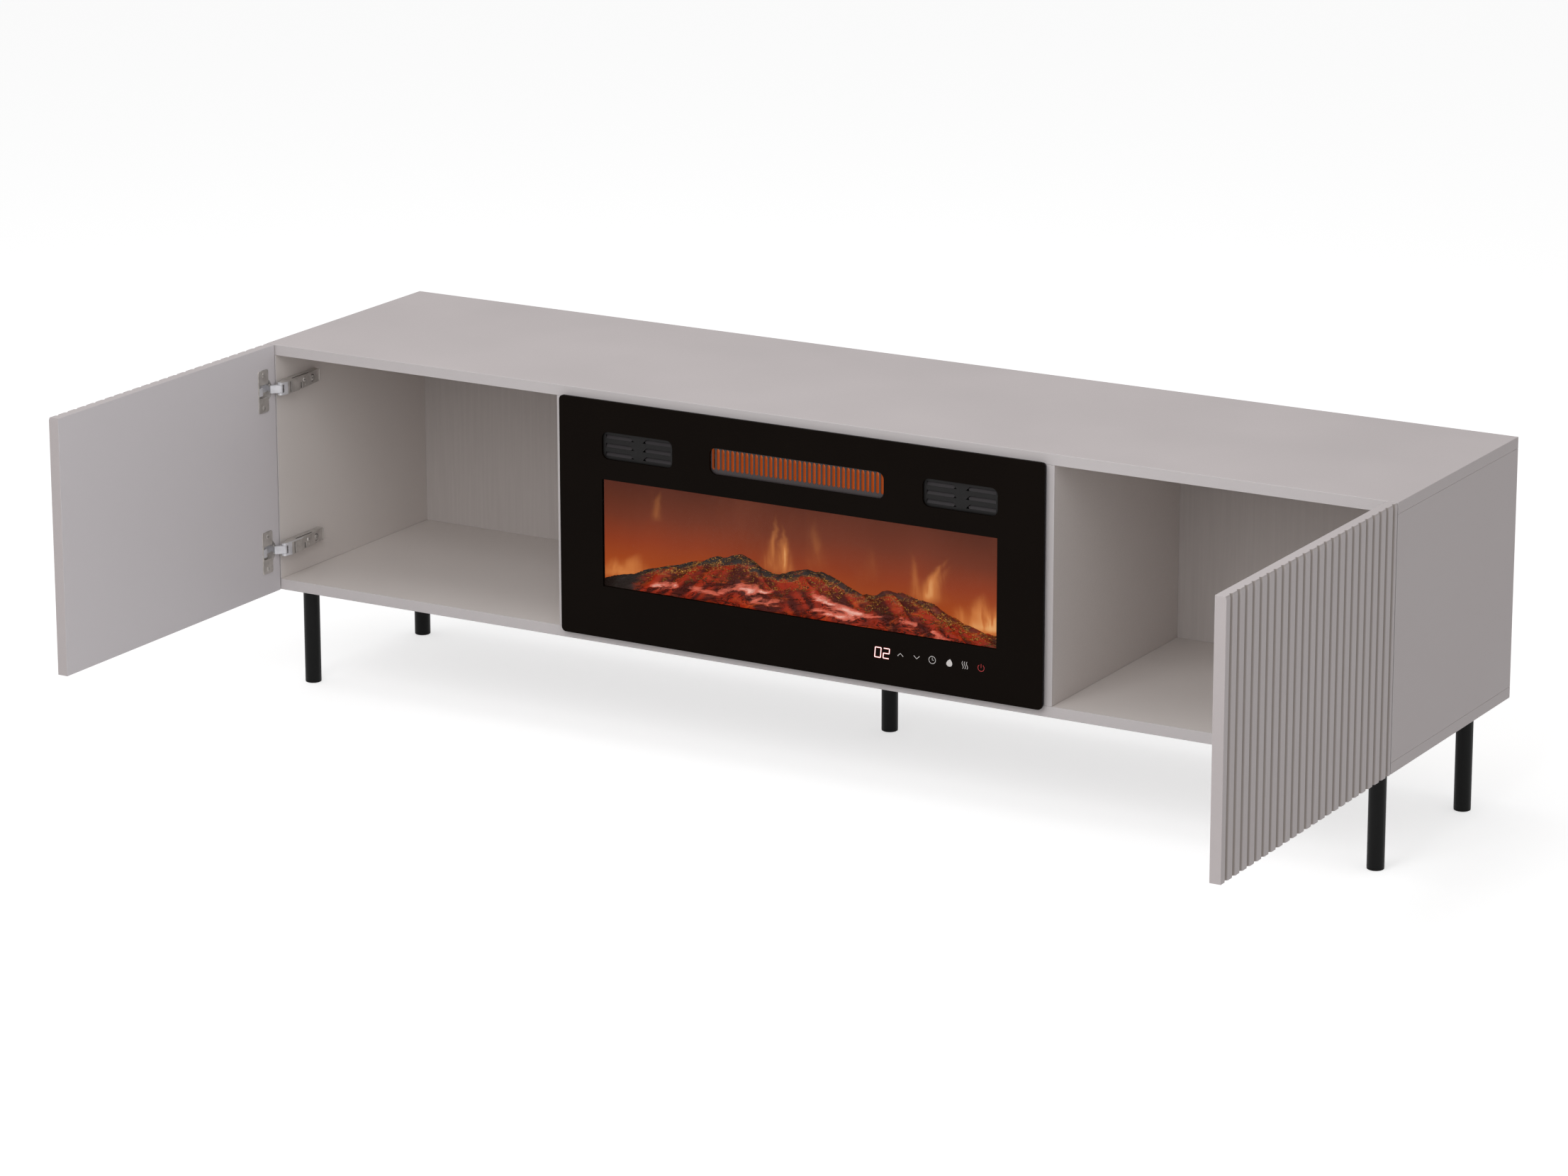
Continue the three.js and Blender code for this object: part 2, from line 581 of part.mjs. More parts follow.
// Each vent has a louvre plate: rows of slots either side of a centre post, with slanted inner ends
function louvrePlate(x) {
  const gap = frame.airMargin - louvre.fit;
  const width = glass.ventWidth + 2 * gap;
  const height = glass.ventHeight + 2 * gap;
  const plateBack = glassBack + louvre.depth;
  let plate = facing(
    roundedRectangle(x, airMiddle, width, height, glass.cutCorner - louvre.fit), glassBack, plateBack,
  );
  const outer = glass.ventWidth / 2 - louvre.endLand;
  for (let row = 0; row < louvreRowCount; row += 1) {
    const middle = airMiddle + (row - (louvreRowCount - 1) / 2) * louvre.rowPitch;
    const low = middle - louvre.slotHeight / 2;
    const high = middle + louvre.slotHeight / 2;
    for (const side of [-1, 1]) {
      const slot = polygon([
        [x + side * louvre.postHalf, low], [x + side * outer, low],
        [x + side * outer, high], [x + side * (louvre.postHalf + louvre.slant), high],
      ]);
      plate = plate.subtract(facing(slot, glassBack - overrun, plateBack + overrun));
    }
  }
  return plate;
}

// The casing is a sheet metal box, open in front, with a deck for the logs, a divider under the blower
// and a bearing for the flame rotor
function casingBox() {
  const deckBottom = deckTop - casing.wall;
  const hollows = [
    [boardThickness + casing.wall, deckBottom], [deckTop, dividerBottom],
    [dividerTop, casingTop - casing.wall],
  ];
  let shell = box(-casingHalf, casingHalf, 0, casingDepth, boardThickness, casingTop);
  for (const [z0, z1] of hollows) {
    shell = shell.subtract(box(-casingInner, casingInner, -overrun, casingDepth + overrun, z0, z1));
  }
  const bearingEnd = rotor.bearingLength - casingInner;
  const bearing = bar(-casingHalf, bearingEnd, rotorSetback, rotorRise, rotor.bearingRadius, tubeSteps);
  const holeRadius = rotor.radius + hinge.runningGap;
  const holeStart = bearingEnd - rotor.pinDepth - hinge.runningGap;
  const hole = bar(holeStart, bearingEnd + overrun, rotorSetback, rotorRise, holeRadius, tubeSteps);
  return shell.add(bearing).subtract(hole);
}

function rearCover() {
  const back = casingDepth + cover.thickness;
  let plate = box(-casingHalf, casingHalf, casingDepth, back, boardThickness, casingTop);
  for (let row = 0; row < coverRowCount; row += 1) {
    const z = airMiddle + cover.slotLift + (row - (coverRowCount - 1) / 2) * cover.slotRowPitch;
    for (let i = 0; i < coverSlotCount; i += 1) {
      const x = (i - (coverSlotCount - 1) / 2) * cover.slotPitch;
      plate = plate.subtract(box(
        x - cover.slotWidth / 2, x + cover.slotWidth / 2, casingDepth - overrun, back + overrun,
        z - cover.slotHeight / 2, z + cover.slotHeight / 2,
      ));
    }
  }
  const holeWidth = inlet.bodyWidth / 2 + inlet.fit;
  const holeHeight = inlet.bodyHeight / 2 + inlet.fit;
  const middle = boardThickness + inlet.rise;
  return plate.subtract(box(
    inletCentre - holeWidth, inletCentre + holeWidth, casingDepth - overrun, back + overrun,
    middle - holeHeight, middle + holeHeight,
  ));
}

// A bent strip between the casing and the partition
function bracketStrip() {
  const y0 = bracket.setback;
  const y1 = bracket.setback + bracket.length;
  const t = bracket.sheet;
  const outline = polygon([
    [casingHalf, y0], [centreHalf, y0], [centreHalf, y1], [centreHalf - t, y1],
    [centreHalf - t, y0 + t], [casingHalf + t, y0 + t], [casingHalf + t, y1], [casingHalf, y1],
  ]);
  return upright(outline, glassMiddle - bracket.height / 2, glassMiddle + bracket.height / 2);
}

// Skyline of the log bed: shares of the bed's half width, and of the window height above the deck
const skylineShares = [
  [-1, 0.08], [-0.96, 0.2], [-0.87, 0.24], [-0.68, 0.37], [-0.47, 0.52], [-0.34, 0.58], [-0.29, 0.575],
  [-0.23, 0.48], [-0.13, 0.46], [-0.04, 0.53], [0.04, 0.53], [0.12, 0.47], [0.27, 0.41], [0.33, 0.46],
  [0.42, 0.43], [0.54, 0.4], [0.6, 0.34], [0.68, 0.25], [0.8, 0.21], [0.93, 0.18], [1, 0.08],
];
// Height of the bed from its front edge to its back edge, as shares of the skyline
const slopeShares = [[0, 0.12], [0.15, 0.42], [0.4, 0.82], [0.6, 1], [0.85, 0.96], [1, 0.6]];
// Logs lie along the bed: x of both ends as shares of the half width, y of both ends as shares of the
// depth, and the radius as a share of the depth
const logShares = [
  [-0.9, -0.31, 0.5, 0.62, 0.17], [-0.3, 0.3, 0.66, 0.45, 0.16], [0.29, 0.84, 0.48, 0.64, 0.16],
  [-0.62, -0.08, 0.26, 0.34, 0.13], [0.02, 0.6, 0.24, 0.3, 0.13],
];

function along(table, share) {
  const next = Math.max(1, table.findIndex(([at]) => at >= share));
  const [x0, v0] = table[next - 1];
  const [x1, v1] = table[next];
  return v0 + ((v1 - v0) * (share - x0)) / (x1 - x0);
}

function bedHeight(xShare, yShare) {
  return windowHeight * along(skylineShares, xShare) * along(slopeShares, yShare);
}

// The log bed is a translucent shell over the ember lights
function logBedShell() {
  const { depth } = logBed;
  const geometry = new THREE.BoxGeometry(2 * logHalf, depth, windowHeight, bedColumns, bedRows);
  const position = geometry.getAttribute('position');
  for (let i = 0; i < position.count; i += 1) {
    const isTop = position.getZ(i) > 0;
    const yShare = (position.getY(i) + depth / 2) / depth;
    const height = isTop ? bedHeight(position.getX(i) / logHalf, yShare) : 0;
    position.setY(i, position.getY(i) + (logBed.front + logBack) / 2);
    position.setZ(i, deckTop + height);
  }
  let bed = solid(geometry);
  for (const [x0Share, x1Share, y0Share, y1Share, radiusShare] of logShares) {
    const radius = radiusShare * depth;
    const [start, end] = [[x0Share, y0Share], [x1Share, y1Share]].map(([xShare, yShare]) => new THREE.Vector3(
      xShare * logHalf, logBed.front + yShare * depth,
      deckTop + bedHeight(xShare, yShare) - radius * logSinkShare,
    ));
    bed = bed.add(solid(logGeometry(start, end, radius)));
  }
  const cavityHalf = logHalf - logBed.cavityWall;
  return bed.subtract(box(
    -cavityHalf, cavityHalf, logBed.front + logBed.cavityWall, logBack - logBed.cavityWall,
    deckTop - overrun, deckTop + logBed.cavityHeight,
  ));
}

function logGeometry(start, end, radius) {
  const run = new THREE.Vector3().subVectors(end, start);
  const geometry = new THREE.CylinderGeometry(radius * logTaperShare, radius, run.length(), logSides);
  const turn = new THREE.Quaternion().setFromUnitVectors(new THREE.Vector3(0, 1, 0), run.clone().normalize());
  geometry.applyQuaternion(turn);
  geometry.translate((start.x + end.x) / 2, (start.y + end.y) / 2, (start.z + end.z) / 2);
  return geometry;
}

function emberLightBoard() {
  const half = logHalf - logBed.cavityWall - emberBoard.edgeGap;
  const y0 = logBed.front + logBed.cavityWall + emberBoard.edgeGap;
  const y1 = logBack - logBed.cavityWall - emberBoard.edgeGap;
  const top = deckTop + emberBoard.thickness;
  let board = box(-half, half, y0, y1, deckTop, top);
  const lampHalf = emberBoard.lampSize / 2;
  const middle = (y0 + y1) / 2;
  const lampCount = Math.floor((half - lampHalf) / emberBoard.lampPitch);
  for (let i = -lampCount; i <= lampCount; i += 1) {
    const x = i * emberBoard.lampPitch;
    board = board.add(box(
      x - lampHalf, x + lampHalf, middle - lampHalf, middle + lampHalf, deckTop, top + emberBoard.lampHeight,
    ));
  }
  return board;
}

// A thin shaft with reflector flags, each one turned a sixth of a turn from the last
function flameRotor() {
  const start = rotor.bearingLength - casingInner - rotor.pinDepth;
  const end = casingInner - rotor.motorLength + rotor.motorPin;
  let body = bar(start, end, rotorSetback, rotorRise, rotor.radius, 12);
  const flagSpan = end - start - 2 * rotor.endMargin;
  const flagCount = Math.floor(flagSpan / rotor.flagPitch);
  for (let i = 0; i < flagCount; i += 1) {
    const x = (i - (flagCount - 1) / 2) * rotor.flagPitch;
    const flag = new THREE.BoxGeometry(rotor.flagLength, 2 * rotor.flagReach, rotor.flagThickness);
    flag.rotateX((i * Math.PI) / 3);
    flag.translate(x, rotorSetback, rotorRise);
    body = body.add(solid(flag));
  }
  return body;
}

function motorCan(x0, x1, y, z, radius, boreRadius, boreEnd) {
  const can = bar(x0, x1, y, z, radius, tubeSteps);
  return can.subtract(bar(x0 - overrun, boreEnd, y, z, boreRadius, tubeSteps));
}

function flameMotor() {
  const start = casingInner - rotor.motorLength;
  const boreEnd = start + rotor.motorPin + hinge.runningGap;
  const boreRadius = rotor.radius + hinge.runningGap;
  return motorCan(start, casingInner, rotorSetback, rotorRise, rotor.motorRadius, boreRadius, boreEnd);
}

// The duct stands on the divider, open in front, with an intake at the back and a bearing on its left wall
function blowerHousing() {
  const top = dividerTop + fan.ductHeight;
  let duct = box(-ductHalf, ductHalf, fan.ductFront, ductBack, dividerTop, top);
  duct = duct.subtract(box(
    fan.ductWall - ductHalf, ductHalf - fan.ductWall, fan.ductFront - overrun, ductBack - fan.ductWall,
    dividerTop + fan.ductWall, top - fan.ductWall,
  ));
  const intakeHalf = ductHalf - fan.intakeInset;
  duct = duct.subtract(box(
    -intakeHalf, intakeHalf, ductBack - fan.ductWall - overrun, ductBack + overrun,
    airMiddle - fan.intakeHeight / 2, airMiddle + fan.intakeHeight / 2,
  ));
  const holeRadius = fan.shaftRadius + fan.boreGap;
  const bearingEnd = fan.ductWall + fan.bearingLength - ductHalf;
  duct = duct.add(bar(-ductHalf, bearingEnd, wheelSetback, airMiddle, fan.bearingRadius, tubeSteps));
  return duct.subtract(bar(
    -ductHalf - overrun, ductHalf + overrun, wheelSetback, airMiddle, holeRadius, tubeSteps,
  ));
}

function blowerWheel() {
  const y = wheelSetback;
  const z = airMiddle;
  let wheel = bar(-ductHalf, ductHalf + fan.motorPin, y, z, fan.shaftRadius, 12);
  for (const x of [-wheelHalf, wheelHalf - fan.discThickness]) {
    wheel = wheel.add(bar(x, x + fan.discThickness, y, z, fan.wheelRadius, tubeSteps));
  }
  for (let i = 0; i < bladeCount; i += 1) {
    const blade = new THREE.BoxGeometry(2 * wheelHalf, fan.bladeThickness, fan.bladeDepth);
    blade.rotateX(fan.bladeLean);
    blade.translate(0, 0, fan.wheelRadius - fan.bladeDepth);
    blade.rotateX((2 * Math.PI * i) / bladeCount);
    blade.translate(0, y, z);
    wheel = wheel.add(solid(blade));
  }
  return wheel;
}

function blowerMotor() {
  const boreEnd = ductHalf + fan.motorPin + fan.boreGap;
  const boreRadius = fan.shaftRadius + fan.boreGap;
  const end = ductHalf + fan.motorLength;
  return motorCan(ductHalf, end, wheelSetback, airMiddle, fan.motorRadius, boreRadius, boreEnd);
}

// The heating element fills the mouth of the duct: a block with cells in its front face
function heatingElement() {
  const half = ductHalf - fan.ductWall - heater.sideGap;
  const y0 = heater.setback;
  const y1 = heater.setback + heater.depth;
  const low = airMiddle - glass.heaterHeight / 2 + heater.edgeInset;
  const high = airMiddle + glass.heaterHeight / 2 - heater.edgeInset;
  let block = box(-half, half, y0, y1, low, high);
  const cellCount = Math.floor((2 * half - heater.cellWall) / heater.cellPitch);
  for (let i = 0; i < cellCount; i += 1) {
    const x = (i - (cellCount - 1) / 2) * heater.cellPitch;
    const cellHalf = (heater.cellPitch - heater.cellWall) / 2;
    block = block.subtract(box(
      x - cellHalf, x + cellHalf, y0 - overrun, y0 + heater.cellDepth,
      low + heater.cellWall, high - heater.cellWall,
    ));
  }
  const footHalf = heater.cellPitch / 2;
  for (const x of [-half + footHalf, half - footHalf]) {
    const foot = box(x - footHalf, x + footHalf, y0, y1, dividerTop + fan.ductWall, low + heater.cellWall);
    block = block.add(foot);
  }
  return block;
}

function powerInlet() {
  const middle = boardThickness + inlet.rise;
  const face = casingDepth + cover.thickness;
  const centred = (width, height, y0, y1, x = inletCentre) => box(
    x - width / 2, x + width / 2, y0, y1, middle - height / 2, middle + height / 2,
  );
  const back = face - inlet.bodyDepth;
  const outer = face + inlet.flangeThickness;
  let body = centred(inlet.flangeWidth, inlet.flangeHeight, face, outer);
  body = body.add(centred(inlet.bodyWidth, inlet.bodyHeight, back, outer));
  const hollowWidth = inlet.bodyWidth - 2 * inlet.wall;
  const hollowHeight = inlet.bodyHeight - 2 * inlet.wall;
  body = body.subtract(centred(hollowWidth, hollowHeight, back + inlet.floor, outer + overrun));
  for (const place of [-1, 0, 1]) {
    const x = inletCentre + place * inlet.pinPitch;
    const pinEnd = back + inlet.floor + inlet.pinLength;
    body = body.add(centred(inlet.pinWidth, inlet.pinHeight, back, pinEnd, x));
  }
  return body;
}

function addFireplace() {
  add('glass_panel', geometryOf(glassPanel()), blackGlass);
  add('front_frame', geometryOf(frontFrame()), darkSheet);
  add('heater_grille', geometryOf(grillePlate()), darkSheet);
  add('left_vent_louvre', geometryOf(louvrePlate(-ventOffset)), blackPlastic);
  add('right_vent_louvre', geometryOf(louvrePlate(ventOffset)), blackPlastic);
  add('casing', geometryOf(casingBox()), zincSheet);
  add('rear_cover', geometryOf(rearCover()), zincSheet);
  const strip = geometryOf(bracketStrip());
  add('right_fixing_bracket', strip, zincSheet);
  add('left_fixing_bracket', mirrored(strip), zincSheet);
  const screenHalf = casingInner - screen.sideGap;
  const sheet = box(-screenHalf, screenHalf, screenFront, screenBack, deckTop, dividerBottom);
  add('flame_screen', geometryOf(sheet), flamePicture);
  add('log_bed', geometryOf(logBedShell()), ember);
  add('ember_light_board', geometryOf(emberLightBoard()), circuit);
  add('flame_rotor', geometryOf(flameRotor()), motorShell);
  add('flame_motor', geometryOf(flameMotor()), motorShell);
  add('blower_housing', geometryOf(blowerHousing()), zincSheet);
  add('blower_wheel', geometryOf(blowerWheel()), blackPlastic);
  add('blower_motor', geometryOf(blowerMotor()), motorShell);
  add('heating_element', geometryOf(heatingElement()), glowBar);
  const boardHalfWidth = frame.keysWidth / 2 - controlBoard.edgeGap;
  const boardHalfHeight = frame.keysHeight / 2 - controlBoard.edgeGap;
  add('control_board', geometryOf(box(
    keysCentre - boardHalfWidth, keysCentre + boardHalfWidth, glassBack, glassBack + controlBoard.thickness,
    keysRise - boardHalfHeight, keysRise + boardHalfHeight,
  )), circuit);
  add('power_inlet', geometryOf(powerInlet()), blackPlastic);
}

addCarcass();
addLegs();
addDoors();
addFireplace();

const part = new THREE.Group();
part.add(stand);
export default part;
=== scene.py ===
import json
import math

import bmesh
import bpy
from mathutils import Matrix, Vector, noise

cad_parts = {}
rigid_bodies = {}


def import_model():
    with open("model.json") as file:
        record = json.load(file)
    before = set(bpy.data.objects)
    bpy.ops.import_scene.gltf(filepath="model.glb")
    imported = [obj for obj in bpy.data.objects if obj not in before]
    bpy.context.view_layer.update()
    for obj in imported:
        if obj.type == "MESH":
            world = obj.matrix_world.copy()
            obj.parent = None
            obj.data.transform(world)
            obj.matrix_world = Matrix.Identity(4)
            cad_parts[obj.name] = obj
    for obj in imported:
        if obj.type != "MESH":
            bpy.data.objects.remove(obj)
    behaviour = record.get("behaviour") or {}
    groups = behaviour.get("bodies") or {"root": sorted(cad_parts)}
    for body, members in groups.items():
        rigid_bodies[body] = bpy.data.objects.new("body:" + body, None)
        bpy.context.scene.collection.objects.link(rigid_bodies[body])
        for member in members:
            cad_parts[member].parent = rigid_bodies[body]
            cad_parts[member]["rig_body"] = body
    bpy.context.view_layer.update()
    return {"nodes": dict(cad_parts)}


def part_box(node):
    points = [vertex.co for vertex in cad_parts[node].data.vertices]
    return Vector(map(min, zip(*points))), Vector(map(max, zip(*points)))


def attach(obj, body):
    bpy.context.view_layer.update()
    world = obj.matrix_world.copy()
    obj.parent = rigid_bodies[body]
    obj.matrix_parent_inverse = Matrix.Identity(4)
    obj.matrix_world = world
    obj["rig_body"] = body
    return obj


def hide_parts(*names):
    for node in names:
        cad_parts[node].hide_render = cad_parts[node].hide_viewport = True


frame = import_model()
nodes = frame["nodes"]
scene = bpy.context.scene

# Pieces are drawn in millimetres from the underside, the front edges and the middle of the carcass
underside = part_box("bottom_panel")[0]
toFrame = Matrix.Translation((0, underside.y, underside.z)) @ Matrix.Scale(0.001, 4)
toCarcass = toFrame.inverted()
axisX = Vector((1, 0, 0))
axisY = Vector((0, 1, 0))
axisZ = Vector((0, 0, 1))


def span(node):
    low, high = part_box(node)
    return toCarcass @ low, toCarcass @ high


# Node wrapper
class Signal:
    def __init__(self, tree, socket=None):
        self.tree = tree
        self.socket = socket

    def node(self, kind, settings=None, inputs=None, out=0):
        made = self.tree.nodes.new(kind)
        for key, value in (settings or {}).items():
            if key == "stops":
                ends = made.color_ramp.elements
                ends[0].position, ends[0].color = value[0]
                ends[1].position, ends[1].color = value[-1]
                for position, colour in value[1:-1]:
                    ends.new(position).color = colour
            else:
                setattr(made, key, value)
        for key, value in (inputs or {}).items():
            if isinstance(value, Signal):
                self.tree.links.new(value.socket, made.inputs[key])
            else:
                made.inputs[key].default_value = value
        return Signal(self.tree, made.outputs[out]) if len(made.outputs) else made

    def also(self, out):
        # Another output of the node that this one comes from
        return Signal(self.tree, self.socket.node.outputs[out])

    def maths(self, operation, first, second=0.0):
        return self.node("ShaderNodeMath", {"operation": operation}, {0: first, 1: second})

    def __add__(self, other):
        return self.maths("ADD", self, other)

    def __radd__(self, other):
        return self.maths("ADD", other, self)

    def __sub__(self, other):
        return self.maths("SUBTRACT", self, other)

    def __rsub__(self, other):
        return self.maths("SUBTRACT", other, self)

    def __mul__(self, other):
        return self.maths("MULTIPLY", self, other)

    def __rmul__(self, other):
        return self.maths("MULTIPLY", other, self)

    def __truediv__(self, other):
        return self.maths("DIVIDE", self, other)

    def __pow__(self, other):
        return self.maths("POWER", self, other)

    def __gt__(self, other):
        return self.maths("GREATER_THAN", self, other)

    def __lt__(self, other):
        return self.maths("LESS_THAN", self, other)

    def __abs__(self):
        return self.maths("ABSOLUTE", self)


def paint(red, green, blue):
    # A colour as the eye reads it on a screen, made linear
    def linear(part):
        share = part / 255
        return share / 12.92 if share <= 0.04045 else ((share + 0.055) / 1.055) ** 2.4
    return (linear(red), linear(green), linear(blue), 1)


def newFinish(name):
    finish = bpy.data.materials.new(name)
    finish.use_nodes = True
    finish.node_tree.nodes.clear()
    place = Signal(finish.node_tree).node("ShaderNodeTexCoord", out="Object")
    return finish, place


def close(finish, shader):
    shader.node("ShaderNodeOutputMaterial", inputs={"Surface": shader})
    return finish


def coated(finish, place, **sockets):
    # Principled shader. Socket names are written with _ for a space
    named = {key.replace("_", " "): value for key, value in sockets.items()}
    return close(finish, place.node("ShaderNodeBsdfPrincipled", inputs=named))


def carcassParts(place):
    # Across, back and up, in millimetres from the carcass datum
    split = place.node("ShaderNodeSeparateXYZ", inputs={0: place})
    return split * 1000, (split.also(1) - underside.y) * 1000, (split.also(2) - underside.z) * 1000


def scaled(place, sizes, turn=(0, 0, 0)):
    return place.node("ShaderNodeMapping", {"vector_type": "POINT"},
                      {"Vector": place, "Scale": sizes, "Rotation": turn})


def cloud(place, size, detail=2.0, roughness=0.5, warp=0.0):
    return place.node("ShaderNodeTexNoise", {"noise_dimensions": "3D"},
                      {"Vector": place, "Scale": size, "Detail": detail, "Roughness": roughness,
                       "Distortion": warp}, "Fac")


def cells(place, size, feature="F1", out="Distance"):
    return place.node("ShaderNodeTexVoronoi", {"voronoi_dimensions": "3D", "feature": feature},
                      {"Vector": place, "Scale": size}, out)


def spread(signal, low, high, fromZero=0.0, toOne=1.0):
    # A smooth step from one value to the other while the signal goes from low to high
    return signal.node("ShaderNodeMapRange", {"interpolation_type": "SMOOTHSTEP"},
                       {"Value": signal, "From Min": low, "From Max": high, "To Min": fromZero,
                        "To Max": toOne})


def blend(share, first, second):
    return share.node("ShaderNodeMix", {"data_type": "RGBA"}, {0: share, 6: first, 7: second}, 2)


def relief(height, distance, strength=1.0):
    return height.node("ShaderNodeBump", inputs={"Height": height, "Distance": distance,
                                                 "Strength": strength})


def painted(tones):
    return {key: paint(*tone) for key, tone in tones.items()}


# Mesh helpers
smoothTurn = 35  # degrees between two faces, past which their edge is drawn sharp
cadMend = {"merge": 0.000002, "flatTurn": 0.6}  # metres and degrees
poleMerge = 0.0005
recessIndex = 1  # places of these finishes in a piece's list
paintedLightIndex = 2


def finished(name, mesh, body, finishes, replaced=(), turn=smoothTurn, outward=True):
    bmesh.ops.transform(mesh, matrix=toFrame, verts=mesh.verts[:])
    if outward:
        bmesh.ops.recalc_face_normals(mesh, faces=mesh.faces[:])
    data = bpy.data.meshes.new(name)
    mesh.to_mesh(data)
    mesh.free()
    for finish in finishes:
        data.materials.append(finish)
    data.shade_smooth()
    data.set_sharp_from_angle(angle=math.radians(turn))
    item = bpy.data.objects.new(name, data)
    scene.collection.objects.link(item)
    even = item.modifiers.new("evenNormals", "WEIGHTED_NORMAL")
    even.weight = 100
    even.keep_sharp = True
    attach(item, body)
    if replaced:
        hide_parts(*replaced)


def cadCopy(node):
    mesh = bmesh.new()
    mesh.from_mesh(nodes[node].data)
    bmesh.ops.remove_doubles(mesh, verts=mesh.verts[:], dist=cadMend["merge"])
    bmesh.ops.dissolve_limit(mesh, angle_limit=math.radians(cadMend["flatTurn"]), verts=mesh.verts[:],
                             edges=mesh.edges[:])
    bmesh.ops.transform(mesh, matrix=toCarcass, verts=mesh.verts[:])
    return mesh


def rounded(mesh, edges, width, segments=2):
    bmesh.ops.bevel(mesh, geom=edges, offset=width, offset_type="OFFSET", segments=segments, profile=0.5,
                    affect="EDGES", material=-1, clamp_overlap=True)


def softenEdges(mesh, width, segments=2, turn=40):
    edges = [edge for edge in mesh.edges
             if edge.is_manifold and edge.calc_face_angle(0) > math.radians(turn)]
    rounded(mesh, edges, width, segments)


def dressed(node, width, finishes, segments=2, turn=smoothTurn, extra=None, ending="_dressed"):
    # A CAD node's shape with its edges rounded, and what extra adds to it
    mesh = cadCopy(node)
    softenEdges(mesh, width, segments)
    if extra:
        extra(mesh, *span(node))
    finished(node + ending, mesh, nodes[node]["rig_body"], finishes, (node,), turn, False)


def repaint(node, finish):
    data = nodes[node].data
    if not data.materials:
        data.materials.append(finish)
    for index in range(len(data.materials)):
        data.materials[index] = finish


def vertsOf(parts):
    return [part for part in parts if isinstance(part, bmesh.types.BMVert)]


def newFaces(mesh, before):
    return [face for face in mesh.faces if face not in before]


def lathe(mesh, profile, centre, axis, outward, steps=40, index=0):
    # The profile holds pairs of distance from the axis and distance along it
    before = set(mesh.faces)
    made = [mesh.verts.new(Vector(centre) + outward * radius + axis * along) for radius, along in profile]
    edges = [mesh.edges.new(pair) for pair in zip(made, made[1:])]
    bmesh.ops.spin(mesh, geom=made + edges, cent=centre, axis=axis, angle=2 * math.pi, steps=steps,
                   use_merge=True, use_duplicate=False)
    verts = list({vert for face in newFaces(mesh, before) for vert in face.verts})
    bmesh.ops.remove_doubles(mesh, verts=verts, dist=poleMerge)
    faces = newFaces(mesh, before)
    bmesh.ops.recalc_face_normals(mesh, faces=faces)
    for face in faces:
        face.material_index = index


def block(mesh, low, high, width=0.0, index=0):
    # A box between two opposite corners, in whichever order they come
    made = bmesh.ops.create_cube(mesh, size=1)["verts"]
    low = Vector(low)
    high = Vector(high)
    size = Vector([abs(part) for part in high - low])
    bmesh.ops.scale(mesh, vec=size, verts=made)
    bmesh.ops.translate(mesh, vec=(high + low) / 2, verts=made)
    for face in {face for vert in made for face in vert.link_faces}:
        face.material_index = index
    if width:
        rounded(mesh, list({edge for vert in made for edge in vert.link_edges}), width)


def crossScrew(mesh, centre, axis, radius, height):
    # A pan head with a cross recess, shaped from a flat grid and then turned to face along the axis
    head = {"cells": 9, "armHalf": 0.085, "armReach": 0.32, "dome": 0.5, "recessDepth": 0.9, "sink": 0.4}
    made = bmesh.ops.create_grid(mesh, x_segments=head["cells"], y_segments=head["cells"], size=0.5)["verts"]
    faces = list({face for vert in made for face in vert.link_faces})
    cross = []
    for face in faces:
        x, y, _ = [abs(part) for part in face.calc_center_median()]
        if min(x, y) < head["armHalf"] and max(x, y) < head["armReach"]:
            cross.append(face)
    rim = [edge for edge in {edge for face in faces for edge in face.edges} if edge.is_boundary]
    for vert in made:
        flat = math.hypot(vert.co.x, vert.co.y)
        out = 2 * max(abs(vert.co.x), abs(vert.co.y))
        if flat > 0:
            vert.co.x *= out * radius / flat
            vert.co.y *= out * radius / flat
        vert.co.z = height * (1 - head["dome"] * out ** 3)
    sunk = bmesh.ops.extrude_face_region(mesh, geom=cross)["geom"]
    floor = vertsOf(sunk)
    bmesh.ops.translate(mesh, vec=(0, 0, -head["recessDepth"] * height), verts=floor)
    # Painted shade: the floor of the cross recess takes the dark recess finish
    for part in sunk:
        if isinstance(part, bmesh.types.BMFace):
            part.material_index = recessIndex
    wall = bmesh.ops.extrude_edge_only(mesh, edges=rim)["geom"]
    foot = vertsOf(wall)
    for vert in foot:
        vert.co.z = -head["sink"] * height
    verts = list(set([vert for vert in made if vert.is_valid] + floor + foot))
    bmesh.ops.recalc_face_normals(mesh, faces=list({face for vert in verts for face in vert.link_faces}))
    turn = axis.to_track_quat("Z", "Y").to_matrix().to_4x4()
    bmesh.ops.transform(mesh, matrix=Matrix.Translation(centre) @ turn, verts=verts)


print("stage: tools")

# Camera
view = {"place": (3.61921, -6.18277, 2.33082), "tilt": 75.21, "round": 29.99, "lens": 123.75,
        "shiftX": -0.01705, "shiftY": -0.06597, "sensor": 36}
lensData = bpy.data.cameras.new("camera")
camera = bpy.data.objects.new("camera", lensData)
scene.collection.objects.link(camera)
camera.location = view["place"]
camera.rotation_euler = (math.radians(view["tilt"]), 0, math.radians(view["round"]))
lensData.sensor_width = view["sensor"]
lensData.lens = view["lens"]
lensData.shift_x = view["shiftX"]
lensData.shift_y = view["shiftY"]
scene.camera = camera


